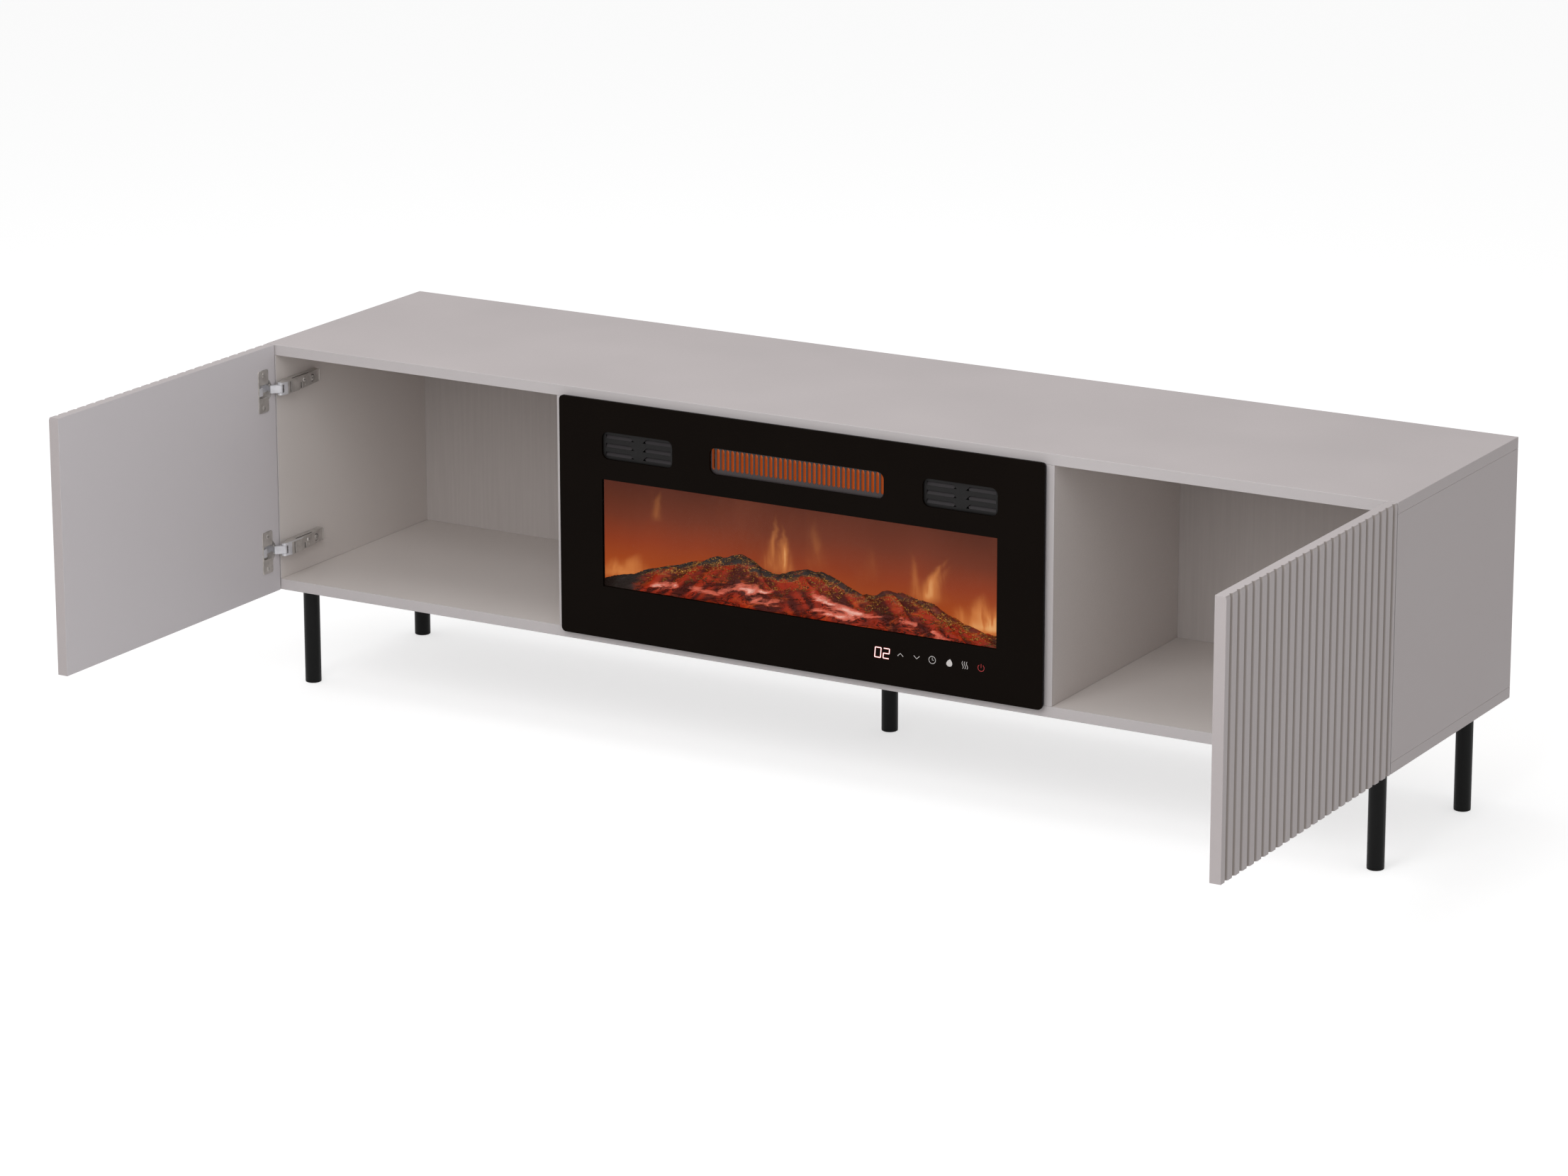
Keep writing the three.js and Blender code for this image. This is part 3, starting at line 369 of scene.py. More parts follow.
# Finishes that several pieces share
def cashmereFinish(name, door=False):
    # Boards have a lighter band along the front edges, and painted light makes them lighter inside the bays.
    # Doors have painted light making them lighter on the inner face, and painted shade making them darker in
    # the grooves between their ribs
    tones = painted({"light": (191, 183, 183), "dark": (184, 176, 176), "band": (195, 189, 189),
                     "inside": (207, 202, 204), "insideDark": (201, 196, 199), "bay": (216, 209, 205),
                     "bayDark": (209, 202, 198), "grooveShade": (156, 147, 142)})
    look = {"speck": 1500, "haze": 6, "speckShare": 0.6, "patches": (0.35, 0.65), "bandStart": -0.1,
            "bandEnd": 0.8, "slack": 0.3, "grooveStart": 0.3, "grooveEnd": 2.0, "grooveFloor": 4, "rim": 0.6}
    finish, place = newFinish(name)
    across, back, up = carcassParts(place)
    speck = cloud(place, look["speck"], 3, 0.6)
    haze = cloud(place, look["haze"])
    mixed = speck * look["speckShare"] + haze * (1 - look["speckShare"])
    tone = blend(spread(mixed, *look["patches"]), tones["dark"], tones["light"])
    band = (back > look["bandStart"]) * (back < look["bandEnd"])
    tone = blend(band, tone, tones["band"])
    slack = look["slack"]
    if door:
        low, high = span("left_door")
        # Painted light: the inner face of each door is painted lighter than its outer face, standing in for
        # light falling on it
        inside = blend(spread(speck, *look["patches"]), tones["insideDark"], tones["inside"])
        tone = blend(abs(across) < slack - high.x, tone, inside)
        rim = look["rim"]
        sunk = -low.x - abs(across)
        ribbed = (sunk < look["grooveFloor"]) * (back > low.y + rim) * (back < high.y - rim)
        ribbed = ribbed * (up > low.z + rim) * (up < high.z - rim)
        # Painted shade: the grooves between the ribs are painted darker where shade falls in them
        grooveShade = spread(sunk, look["grooveStart"], look["grooveEnd"]) * ribbed
        tone = blend(grooveShade, tone, tones["grooveShade"])
    else:
        # Painted light: the boards are painted lighter inside the bays, standing in for light falling there
        inBay = (abs(across) < span("right_side_panel")[0].x + slack) * (back > look["bandEnd"])
        inBay = inBay * (up > span("bottom_panel")[1].z - slack) * (up < span("top_panel")[0].z + slack)
        bay = blend(spread(speck, *look["patches"]), tones["bayDark"], tones["bay"])
        tone = blend(inBay, tone, bay)
    return coated(finish, place, Base_Color=tone, Roughness=spread(haze, 0.25, 0.75, 0.5, 0.6),
                  Specular_IOR_Level=0.35, Normal=relief(speck, 0.00005, 0.6))


def thinBoardFinish():
    tones = painted({"light": (194, 187, 184), "dark": (189, 182, 179), "raw": (150, 122, 92),
                     "rawDark": (118, 92, 66)})
    skin = 0.4
    finish, place = newFinish("thinBackBoard")
    _, back, _ = carcassParts(place)
    grain = cloud(scaled(place, (220, 220, 7)), 1, 4, 0.6)
    fibre = cloud(scaled(place, (700, 700, 420)), 1, 3, 0.7)
    printed = blend(spread(grain, 0.3, 0.7), tones["dark"], tones["light"])
    raw = blend(spread(fibre, 0.3, 0.7), tones["rawDark"], tones["raw"])
    rear = back > span("right_back_panel")[1].y - skin
    return coated(finish, place, Base_Color=blend(rear, printed, raw), Specular_IOR_Level=0.3,
                  Roughness=spread(grain, 0.2, 0.8, 0.56, 0.7), Normal=relief(fibre, 0.00004, 0.5))


def grainedFinish(name, dark, light, gloss, limits=(0.3, 0.7), grain=1, stretch=(1, 1, 1), rough=0.5, cell=0,
                  patch=0, patchDetail=2, patchLimits=None, metal=0.0, specular=0.5, depth=0.00005,
                  strength=1.0):
    # Two tones in soft patches, or in the grain itself, and a fine grain or cells for gloss and relief
    finish, place = newFinish(name)
    fine = cells(place, cell) if cell else cloud(scaled(place, stretch), grain, 3, rough)
    share = cloud(place, patch, patchDetail) if patch else fine
    if patchLimits:
        share = spread(share, *patchLimits)
    return coated(finish, place, Base_Color=blend(share, paint(*dark), paint(*light)), Metallic=metal,
                  Roughness=spread(fine, *limits, *gloss), Specular_IOR_Level=specular,
                  Normal=relief(fine, depth, strength))


def nickelFinish(name, dull, bright, gloss, metal):
    return grainedFinish(name, dull, bright, gloss, (0.25, 0.75), stretch=(900, 140, 900), rough=0.6,
                         patch=90, patchDetail=3, patchLimits=(0.3, 0.7), metal=metal, depth=0.00001,
                         strength=0.3)


def zincFinish():
    tones = painted({"dark": (136, 139, 142), "light": (178, 181, 184)})
    spangleShare = 0.75
    finish, place = newFinish("zincSheet")
    spangle = cells(place, 95, "F1", "Color")
    rolled = cloud(scaled(place, (30, 500, 500)), 1, 3)
    mixed = spangle * spangleShare + rolled * (1 - spangleShare)
    tone = blend(spread(mixed, 0.2, 0.8), tones["dark"], tones["light"])
    return coated(finish, place, Base_Color=tone, Metallic=0.9,
                  Roughness=spread(spangle, 0.1, 0.9, 0.32, 0.52), Normal=relief(rolled, 0.00004, 0.5))


def circuitFinish():
    tones = painted({"mask": (20, 72, 44), "track": (38, 112, 70), "pad": (196, 190, 172)})
    padRadius = 0.16
    finish, place = newFinish("circuitBoard")
    tracks = abs(cloud(scaled(place, (90, 90, 260)), 1, 1) - 0.5)
    edge = spread(tracks, 0.01, 0.03)
    tone = blend(edge, tones["track"], tones["mask"])
    tone = blend(cells(place, 160) < padRadius, tone, tones["pad"])
    return coated(finish, place, Base_Color=tone, Roughness=spread(tracks, 0, 0.1, 0.25, 0.4),
                  Normal=relief(edge, 0.00004))


cashmere = cashmereFinish("cashmereBoard")
doorBoard = cashmereFinish("doorBoard", True)
thinBoard = thinBoardFinish()
blackSteel = grainedFinish("blackPaintedSteel", (4, 4, 4), (11, 11, 11), (0.36, 0.5), grain=1100, patch=90,
                           patchDetail=3, specular=0.16, depth=0.00008, strength=0.7)
nickel = nickelFinish("nickelSteel", (176, 171, 167), (198, 193, 189), (0.34, 0.48), 0.5)
# A lighter copy of the nickel that paints light on the brighter parts of the hinges
paintedLightNickel = nickelFinish("nickelWithPaintedLight", (196, 195, 199), (212, 211, 215), (0.4, 0.52), 0.3)
recessShade = grainedFinish("recessShade", (24, 22, 21), (52, 48, 45), (0.55, 0.55), grain=800, metal=0.6)
blackPlastic = grainedFinish("blackPlastic", (14, 12, 12), (20, 18, 18), (0.42, 0.6), (0.1, 0.7), cell=1700,
                             patch=60, specular=0.25, depth=0.00004, strength=0.4)
darkSheet = grainedFinish("darkSheetSteel", (40, 38, 42), (52, 50, 54), (0.4, 0.55), grain=1300, patch=40,
                          metal=0.2, depth=0.00006, strength=0.6)
zinc = zincFinish()
motorSteel = grainedFinish("motorSteel", (98, 101, 106), (140, 143, 148), (0.3, 0.45), (0.2, 0.8),
                           stretch=(60, 900, 900), metal=0.9, depth=0.00003, strength=0.6)
circuit = circuitFinish()
print("stage: finishes")

# Boards and doors
carcass = {"boardEdge": 0.7, "doorEdge": 0.45, "ribTurn": 16, "backEdge": 0.3}
for node in ("top_panel", "bottom_panel", "left_side_panel", "right_side_panel", "left_partition",
             "right_partition"):
    dressed(node, carcass["boardEdge"], [cashmere])
for node in ("right_door", "left_door"):
    dressed(node, carcass["doorEdge"], [doorBoard], turn=carcass["ribTurn"])
for node in ("left_back_panel", "right_back_panel", "centre_back_panel"):
    dressed(node, carcass["backEdge"], [thinBoard])
print("stage: boards")

# Legs with their plates, and glides
leg = {"radius": 12, "bore": 10.5, "lip": 0.6, "weld": 1.6, "corner": 8, "plate": 3, "plateEdge": 0.5,
       "screwInset": 8, "screwRadius": 3.4, "screwHeight": 1.3, "steps": 48, "padEdge": 0.7, "stem": 10.2,
       "cornerSegments": 8, "weldBulge": 0.3, "plateTurn": 60}


def makeLeg(name):
    low, high = span("leg_" + name)
    centre = (low + high) / 2
    middle = Vector((centre.x, centre.y, 0))
    shoulder = high.z - leg["plate"]
    radius = leg["radius"]
    lip = leg["lip"]
    weld = leg["weld"]
    mesh = bmesh.new()
    block(mesh, (low.x, low.y, shoulder), (high.x, high.y, high.z))
    corners = [edge for edge in mesh.edges if abs(edge.verts[0].co.z - edge.verts[1].co.z) > leg["plate"] / 2]
    rounded(mesh, corners, leg["corner"], leg["cornerSegments"])
    softenEdges(mesh, leg["plateEdge"], 2, leg["plateTurn"])
    lathe(mesh, [(leg["bore"], shoulder), (leg["bore"], low.z + lip), (leg["bore"] + lip / 2, low.z),
                 (radius - lip, low.z), (radius, low.z + lip), (radius, shoulder - weld),
                 (radius + weld * leg["weldBulge"], shoulder - weld * leg["weldBulge"]),
                 (radius + weld, shoulder)], middle, axisZ, axisX, leg["steps"])
    reach = (high.x - low.x) / 2 - leg["screwInset"]
    for across in (-reach, reach):
        for along in (-reach, reach):
            crossScrew(mesh, (centre.x + across, centre.y + along, shoulder), -axisZ, leg["screwRadius"],
                       leg["screwHeight"])
    finished("leg_" + name + "_turned", mesh, "cabinet", [blackSteel, recessShade],
             ("leg_" + name,), outward=False)


def makeGlide(name):
    low, high = span("glide_" + name)
    centre = (low + high) / 2
    pad = span("leg_" + name)[0].z
    edge = leg["padEdge"]
    mesh = bmesh.new()
    lathe(mesh, [(0, low.z), (leg["radius"] - edge * 2, low.z), (leg["radius"] - edge * 0.3, low.z + edge),
                 (leg["radius"] - edge * 0.1, pad), (leg["stem"], pad), (leg["stem"], high.z - edge),
                 (leg["stem"] - edge, high.z), (0, high.z)], Vector((centre.x, centre.y, 0)), axisZ, axisX,
          leg["steps"])
    finished("glide_" + name + "_moulded", mesh, "cabinet", [blackPlastic],
             ("glide_" + name,), outward=False)


for name in ("front_left", "front_right", "rear_left", "rear_right", "middle"):
    makeLeg(name)
    makeGlide(name)
print("stage: legs")

# Hinges. Runs along a cup start at its edge nearest the door's free end, and runs along an arm at the carcass
# front. Heights on an arm are measured from the inner face of the side panel
cup = {"edge": 0.15, "thickness": 1.2, "proud": 0.06, "width": 24.4, "spine": 2.0, "half": 31.6,
       "corner": 2.6, "rim": 0.45, "rimTurn": 1.2, "slack": 0.01, "mouth": 9.9, "screwRise": 24.5,
       "screwRadius": 3.5, "screwHeight": 0.8, "saddleTop": 8.6, "stopTop": 1.0, "floor": 9.6,
       "clipDepth": 4.0}
# Start, end, half width and rounding of each part in the cup that takes the lighter nickel of painted light
inCup = {"saddle": (14, 33.2, 5.7, 0.5), "stop": (32.8, 33.7, 4.2, 0.2), "clip": (2.4, 10.2, 6.4, 0.4)}
link = {"edge": 0.45, "rim": 1.1, "sink": 0.45, "across": 0.79, "forward": 0.61, "pick": 4}
arm = {"edge": 0.5, "noseEnd": 8, "crown": 18, "step": 15.5, "stepEnd": 45, "tail": 96, "tailHeight": 9.5,
       "half": 9.3, "proud": 0.05, "lip": 0.6, "lipEdge": 0.25, "lipRun": (13, 14.4), "lipShare": 0.93,
       "shadowRun": (11.2, 12.8), "shadowShare": 0.9, "slitHeights": (9.4, 11.8), "slitRun": (25, 66),
       "slitDepth": 0.4, "slitProud": 0.06, "bridgeRun": (42.6, 44), "bridgeShadow": (40.6, 42.4),
       "bridgeShare": 0.85, "bridgeEnd": 0.5, "bridgeRise": 0.48, "adjusterAt": 50, "adjusterShare": 0.32,
       "adjusterRadius": 3.7, "adjusterHeight": 1.7, "rivetAt": 53, "rivetShare": 0.55, "rivetRadius": 0.9,
       "rivetRise": 0.3, "rivetCrown": 0.7, "fixingAt": 74, "fixingRadius": 4.3, "fixingHeight": 1.1,
       "fixingProud": 0.2, "seatShare": 1.25, "seatDepth": 0.5, "seatRise": 0.25, "seatCrown": 0.3,
       "tailDepth": 1.2, "tailRise": 1.3, "tailWidth": 1.6, "tailEdge": 0.3}
plateEdge = 0.4
innerFace = span("right_side_panel")[0].x


def handOf(low):
    return 1 if low.x > 0 else -1


def dressCup(mesh, low, high):
    # A straight-edged plate covers the flange, open towards the hinge side
    hand = handOf(low)
    base = low.x if hand > 0 else high.x
    face = base - hand * cup["proud"]
    back = base + hand * cup["thickness"]
    middle = (low.z + high.z) / 2
    mouth = low.y + cup["spine"]
    front = low.y + cup["width"]
    half = cup["half"]
    gap = cup["mouth"]
    outline = [(low.y, -half), (front, -half), (front, -gap), (mouth, -gap), (mouth, gap), (front, gap),
               (front, half), (low.y, half)]
    plate = mesh.faces.new([mesh.verts.new((back, along, middle + up)) for along, up in outline])
    top = vertsOf(bmesh.ops.extrude_face_region(mesh, geom=[plate])["geom"])
    bmesh.ops.translate(mesh, vec=(face - back, 0, 0), verts=top)
    corners = [edge for edge in {edge for vert in top for edge in vert.link_edges}
               if abs(edge.verts[0].co.x - edge.verts[1].co.x) > cup["thickness"] / 2]
    rounded(mesh, corners, cup["corner"], 4)
    rim = [edge for edge in mesh.edges if edge.is_manifold and edge.calc_face_angle(0) > cup["rimTurn"]
           and all(abs(vert.co.x - face) < cup["slack"] for vert in edge.verts)]
    rounded(mesh, rim, cup["rim"])
    for side in (-1, 1):
        crossScrew(mesh, (face, (low.y + front) / 2, middle + side * cup["screwRise"]), -hand * axisX,
                   cup["screwRadius"], cup["screwHeight"])
    # Saddle on the floor of the dish, a stop on its far wall, and a clip outside the arm's path, made bright
    # with painted light in a lighter copy of the nickel
    floor = back + hand * cup["floor"]
    for part, top, bottom in (("saddle", back + hand * cup["saddleTop"], floor),
                              ("stop", back + hand * cup["stopTop"], floor),
                              ("clip", face, face + hand * cup["clipDepth"])):
        start, end, half, edge = inCup[part]
        block(mesh, (top, low.y + start, middle - half), (bottom, low.y + end, middle + half), edge,
              paintedLightIndex)


def dressLink(mesh, low, high):
    # Painted light: the link is in the lighter copy of the nickel all over, and the broad outer face is sunk
    # between its rims
    for face in mesh.faces:
        face.material_index = paintedLightIndex
    outer = Vector((-handOf(low) * link["across"], -link["forward"], 0))

    def facing(face):
        return face.calc_area() * max(0, face.normal.dot(outer)) ** link["pick"]

    bmesh.ops.inset_region(mesh, faces=[max(mesh.faces, key=facing)], thickness=link["rim"],
                           depth=-link["sink"], use_even_offset=True, use_boundary=True)


def armPlate(mesh, hand, heights, run, ups, width=0.0, index=0):
    block(mesh, (hand * (innerFace - heights[0]), run[0], ups[0]),
          (hand * (innerFace - heights[1]), run[1], ups[1]), width, index)


def onArm(hand, y, up):
    # The arm is level up to its step and slopes down to its tail
    share = max(0, (y - arm["stepEnd"]) / (arm["tail"] - arm["stepEnd"]))
    height = arm["step"] + share * (arm["tailHeight"] - arm["step"])
    return Vector((hand * (innerFace - height), y, up))


def dressArm(mesh, low, high):
    hand = handOf(low)
    out = -hand * axisX
    middle = (low.z + high.z) / 2
    half = arm["half"]
    crown = arm["crown"]
    step = arm["step"]
    lip = arm["lip"]
    proud = arm["proud"]
    # Painted light: the nose of the arm takes the lighter copy of the nickel
    for face in mesh.faces:
        if face.calc_center_median().y < arm["noseEnd"]:
            face.material_index = paintedLightIndex
    # Lip behind the nose, with a dark plate of painted shade for the shadow gap before it
    inLip = (middle - half * arm["lipShare"], middle + half * arm["lipShare"])
    inShadow = (middle - half * arm["shadowShare"], middle + half * arm["shadowShare"])
    armPlate(mesh, hand, (crown - lip, crown + proud), arm["shadowRun"], inShadow, 0, recessIndex)
    armPlate(mesh, hand, (crown - lip, crown + lip), arm["lipRun"], inLip, arm["lipEdge"])
    # Lever slit along the upper edge, drawn as a dark strip of painted shade
    ups = (middle + half - arm["slitDepth"], middle + half + arm["slitProud"])
    armPlate(mesh, hand, arm["slitHeights"], arm["slitRun"], ups, 0, recessIndex)
    # Adjusting screw with its slot edge, a dark plate of painted shade beside that edge, and a rivet
    crossScrew(mesh, onArm(hand, arm["adjusterAt"], middle + half * arm["adjusterShare"]), out,
               arm["adjusterRadius"], arm["adjusterHeight"])
    ups = (middle - half * arm["bridgeShare"], middle + arm["bridgeEnd"])
    armPlate(mesh, hand, (step - lip, step + arm["bridgeRise"]), arm["bridgeRun"], ups, arm["lipEdge"])
    armPlate(mesh, hand, (step - lip, step + proud), arm["bridgeShadow"], ups, 0, recessIndex)
    radius = arm["rivetRadius"]
    rise = arm["rivetRise"]
    lathe(mesh, [(radius, -rise), (radius, rise), (radius * 0.6, rise * 2), (0, arm["rivetCrown"])],
          onArm(hand, arm["rivetAt"], middle - half * arm["rivetShare"]), out, axisZ, 16)
    # Fixing screw in a dark seat of painted shade, and the lip at the tail
    seat = onArm(hand, arm["fixingAt"], middle)
    radius = arm["fixingRadius"] * arm["seatShare"]
    lathe(mesh, [(radius, -arm["seatDepth"]), (radius, arm["seatRise"]), (0, arm["seatCrown"])], seat, out,
          axisZ, 24, recessIndex)
    crossScrew(mesh, seat + out * arm["fixingProud"], out, arm["fixingRadius"], arm["fixingHeight"])
    armPlate(mesh, hand, (arm["tailHeight"] - arm["tailDepth"], arm["tailHeight"] + arm["tailRise"]),
             (arm["tail"] - arm["tailWidth"], arm["tail"] - proud), inShadow, arm["tailEdge"])


hingeParts = {"cup": (cup["edge"], dressCup), "link": (link["edge"], dressLink),
              "arm": (arm["edge"], dressArm), "mounting_plate": (plateEdge, None)}
steel = [nickel, recessShade, paintedLightNickel]
for side in ("right", "left"):
    for level in ("lower", "upper"):
        for part, (edge, extra) in hingeParts.items():
            dressed(f"{side}_{level}_hinge_{part}", edge, steel, extra=extra)
print("stage: hinges")

# Glass front: printed black all over but for the display window
window = {"half": 316, "low": 88, "high": 245, "clear": (0.95, 0.97), "edge": 0.7, "frameEdge": 0.3}


def glassFinish():
    finish, place = newFinish("blackGlass")
    across, _, up = carcassParts(place)
    inWindow = (abs(across) < window["half"]) * (up > window["low"]) * (up < window["high"])
    haze = cloud(place, 12)
    return coated(finish, place, Base_Color=blend(haze, paint(12, 6, 3), paint(16, 10, 6)),
                  Roughness=spread(haze, 0.3, 0.7, 0.05, 0.09), Specular_IOR_Level=0.03,
                  Alpha=1 - inWindow * spread(haze, 0.3, 0.7, *window["clear"]))


def grilleFinish():
    # Painted light: the sides of the bars glow with the colour of the element behind them, standing in for
    # its light falling on them
    look = {"run": (0.35, 1.3), "fromFoot": (5.5, 8.5), "fromHead": (2, 5)}
    finish, place = newFinish("heaterGrille")
    _, back, up = carcassParts(place)
    low, high = span("heater_grille")
    grain = cloud(place, 600, 3)
    lit = spread(back - low.y, *look["run"]) * spread(up - low.z, *look["fromFoot"])
    lit = lit * spread(high.z - up, *look["fromHead"])
    glow = blend(lit, paint(0, 0, 0), blend(grain, paint(150, 62, 18), paint(168, 74, 24)))
    return coated(finish, place, Base_Color=blend(grain, paint(50, 44, 45), paint(66, 58, 59)),
                  Metallic=0.3, Roughness=spread(grain, 0.3, 0.7, 0.4, 0.55), Emission_Color=glow,
                  Emission_Strength=0.62, Normal=relief(grain, 0.00003, 0.5))


dressed("glass_panel", window["edge"], [glassFinish()], 3)
dressed("front_frame", window["frameEdge"], [darkSheet])
dressed("heater_grille", window["frameEdge"], [grilleFinish()])

# Vent louvres: a leaning blade fills each slot
louvre = {"plateEdge": 0.5, "rows": 3, "rowPitch": 12.5, "post": 7, "slant": 6, "slantShare": 0.4,
          "endLand": 4.5, "bladeHigh": 7.8, "blade": 1.4, "lean": 24, "edge": 0.35, "back": 2.6}
ventBlade = grainedFinish("ventBlade", (38, 34, 36), (46, 42, 44), (0.45, 0.6), (0.1, 0.7), cell=1500,
                          patch=50, specular=0.3, depth=0.00004, strength=0.4)


def addBlades(mesh, low, high):
    centre = (low + high) / 2
    thick = louvre["blade"] / 2
    tall = louvre["bladeHigh"] / 2
    turn = Matrix.Rotation(math.radians(-louvre["lean"]), 4, "X")
    for side in (-1, 1):
        inner = centre.x + side * (louvre["post"] + louvre["slant"] * louvre["slantShare"])
        outer = (low.x if side < 0 else high.x) - side * louvre["endLand"]
        for row in range(louvre["rows"]):
            up = centre.z + (row - (louvre["rows"] - 1) / 2) * louvre["rowPitch"]
            before = set(mesh.verts)
            block(mesh, (inner, -thick, -tall), (outer, thick, tall), louvre["edge"], 1)
            blade = [vert for vert in mesh.verts if vert not in before]
            for vert in blade:
                if abs(vert.co.x - inner) < louvre["edge"] * 2:
                    vert.co.x -= side * louvre["slant"] * vert.co.z / louvre["bladeHigh"]
            bmesh.ops.transform(mesh, matrix=Matrix.Translation((0, low.y + louvre["back"], up)) @ turn,
                                verts=blade)


for node in ("left_vent_louvre", "right_vent_louvre"):
    dressed(node, louvre["plateEdge"], [blackPlastic, ventBlade], 3, extra=addBlades,
            ending="_bladed")
print("stage: glass front")


# Digits and key signs, printed or lit on the glass
def signFinish(name, colour, glow, edge):
    finish, place = newFinish(name)
    grain = cloud(place, 900, 2)
    tone = blend(grain, paint(*colour), paint(*edge))
    return coated(finish, place, Base_Color=tone, Roughness=0.4, Emission_Color=tone,
                  Emission_Strength=glow)


whiteLit = signFinish("digitLight", (255, 240, 236), 1.2, (255, 222, 216))
redLit = signFinish("digitHalo", (128, 16, 12), 0.75, (92, 10, 8))
redKey = signFinish("redKey", (150, 30, 30), 0.7, (120, 24, 24))
greyKey = signFinish("greyKey", (176, 172, 170), 0.55, (150, 146, 144))

signs = {"rise": 58, "digitWidth": 10.2, "digitHeight": 15.2, "digitStroke": 1.0, "haloStroke": 3.1,
         "digitSlant": 0.08, "digitLow": 49, "digitPlaces": (131.2, 144.4), "keyStroke": 0.75, "steps": 28,
         "upKey": 166.7, "downKey": 192.3, "clockKey": 216.7, "flameKey": 243.3, "heatKey": 267.6,
         "powerKey": 292.8, "chevronHalf": 4.4, "chevronDrop": 4.2, "clockRadius": 5.2, "powerRadius": 4.8,
         "waveGap": 3.4, "waveReach": 5.2, "waveSway": 1.0, "proud": 0.06, "flat": 0.12, "haloDepth": 0.15,
         "chevronStroke": 0.9, "clockHands": (0.65, 0.5), "powerGap": (35, 325), "powerMark": 1.15}
segmentShares = {"top": [(-1, 1), (1, 1)], "upperRight": [(1, 1), (1, 0)], "lowerRight": [(1, 0), (1, -1)],
                 "bottom": [(1, -1), (-1, -1)], "lowerLeft": [(-1, -1), (-1, 0)],
                 "upperLeft": [(-1, 0), (-1, 1)], "middle": [(-1, 0), (1, 0)]}
digitSegments = {"0": ("top", "upperRight", "lowerRight", "bottom", "lowerLeft", "upperLeft"),
                 "2": ("top", "upperRight", "middle", "lowerLeft", "bottom")}


def drawLine(mesh, points, width, depth=0.0):
    # A round line pressed flat on the face of the glass
    curve = bpy.data.curves.new("line", "CURVE")
    curve.dimensions = "3D"
    curve.bevel_depth = width / 2
    curve.bevel_resolution = 2
    curve.use_fill_caps = True
    spline = curve.splines.new("POLY")
    spline.points.add(len(points) - 1)
    for point, (across, up) in zip(spline.points, points):
        point.co = (across, 0, up, 1)
    item = bpy.data.objects.new("line", curve)
    data = bpy.data.meshes.new_from_object(item)
    before = set(mesh.verts)
    mesh.from_mesh(data)
    face = span("glass_panel")[0].y
    for vert in mesh.verts:
        if vert not in before:
            vert.co.y = face - signs["proud"] + depth + vert.co.y * signs["flat"]
    bpy.data.objects.remove(item)
    bpy.data.curves.remove(curve)
    bpy.data.meshes.remove(data)


def arcPoints(across, up, radius, start, stop):
    steps = signs["steps"]
    angles = [math.radians(start + (stop - start) * step / steps) for step in range(steps + 1)]
    return [(across + radius * math.sin(angle), up + radius * math.cos(angle)) for angle in angles]


def digitLines(digit, middle):
    halfWide = (signs["digitWidth"] - signs["digitStroke"]) / 2
    halfHigh = (signs["digitHeight"] - signs["digitStroke"]) / 2
    up = signs["digitLow"] + signs["digitHeight"] / 2
    lines = []
    for segment in digitSegments[digit]:
        ends = []
        for (x, z) in segmentShares[segment]:
            z *= halfHigh
            ends.append((middle + x * halfWide + z * signs["digitSlant"], up + z))
        lines.append(ends)
    return lines


def makeSign(name, lines, width, finish, depth=0.0):
    mesh = bmesh.new()
    for points in lines:
        drawLine(mesh, points, width, depth)
    finished(name, mesh, "cabinet", [finish])


digits = [line for digit, middle in zip("02", signs["digitPlaces"]) for line in digitLines(digit, middle)]
makeSign("display_digits", digits, signs["digitStroke"], whiteLit)
makeSign("display_halo", digits, signs["haloStroke"], redLit, signs["haloDepth"])
rise = signs["rise"]
half = signs["chevronHalf"]
drop = signs["chevronDrop"] / 2
up = signs["upKey"]
down = signs["downKey"]
makeSign("key_up", [[(up - half, rise - drop), (up, rise + drop), (up + half, rise - drop)]],
         signs["chevronStroke"], greyKey)
makeSign("key_down", [[(down - half, rise + drop), (down, rise - drop), (down + half, rise + drop)]],
         signs["chevronStroke"], greyKey)
clock = signs["clockKey"]
radius = signs["clockRadius"]
long, short = [radius * share for share in signs["clockHands"]]
makeSign("key_clock", [arcPoints(clock, rise, radius, 0, 360),
                       [(clock, rise + long), (clock, rise), (clock + short, rise)]],
         signs["keyStroke"], greyKey)
heat = signs["heatKey"]
waves = []
for offset in (-signs["waveGap"], 0, signs["waveGap"]):
    waves.append([(heat + offset + signs["waveSway"] * math.sin(share * 2 * math.pi),
                   rise + signs["waveReach"] * (2 * share - 1))
                  for share in [step / signs["steps"] for step in range(signs["steps"] + 1)]])
makeSign("key_heat", waves, signs["keyStroke"], greyKey)
power = signs["powerKey"]
radius = signs["powerRadius"]
makeSign("key_power", [arcPoints(power, rise, radius, *signs["powerGap"]),
                       [(power, rise), (power, rise + radius * signs["powerMark"])]],
         signs["keyStroke"], redKey)

# The flame sign is a filled drop whose tip leans over
flameSign = {"half": 4.3, "low": 52.6, "high": 63.4, "lean": 1.3, "leanPower": 3, "taper": 1.6, "belly": 1.25,
             "points": 40}
mesh = bmesh.new()
bmesh.ops.create_circle(mesh, cap_ends=True, segments=flameSign["points"], radius=1)
face = span("glass_panel")[0].y
for vert in mesh.verts:
    up = (vert.co.y + 1) / 2
    pinch = math.sqrt(max(0, 1 - up ** flameSign["taper"])) * flameSign["belly"]
    across = vert.co.x * flameSign["half"] * pinch + flameSign["lean"] * up ** flameSign["leanPower"]
    vert.co = Vector((signs["flameKey"] + across, face,
                      flameSign["low"] + up * (flameSign["high"] - flameSign["low"])))
thick = bmesh.ops.extrude_face_region(mesh, geom=mesh.faces[:])["geom"]
bmesh.ops.translate(mesh, vec=(0, -signs["proud"], 0), verts=vertsOf(thick))
finished("key_flame", mesh, "cabinet", [greyKey])
print("stage: signs")

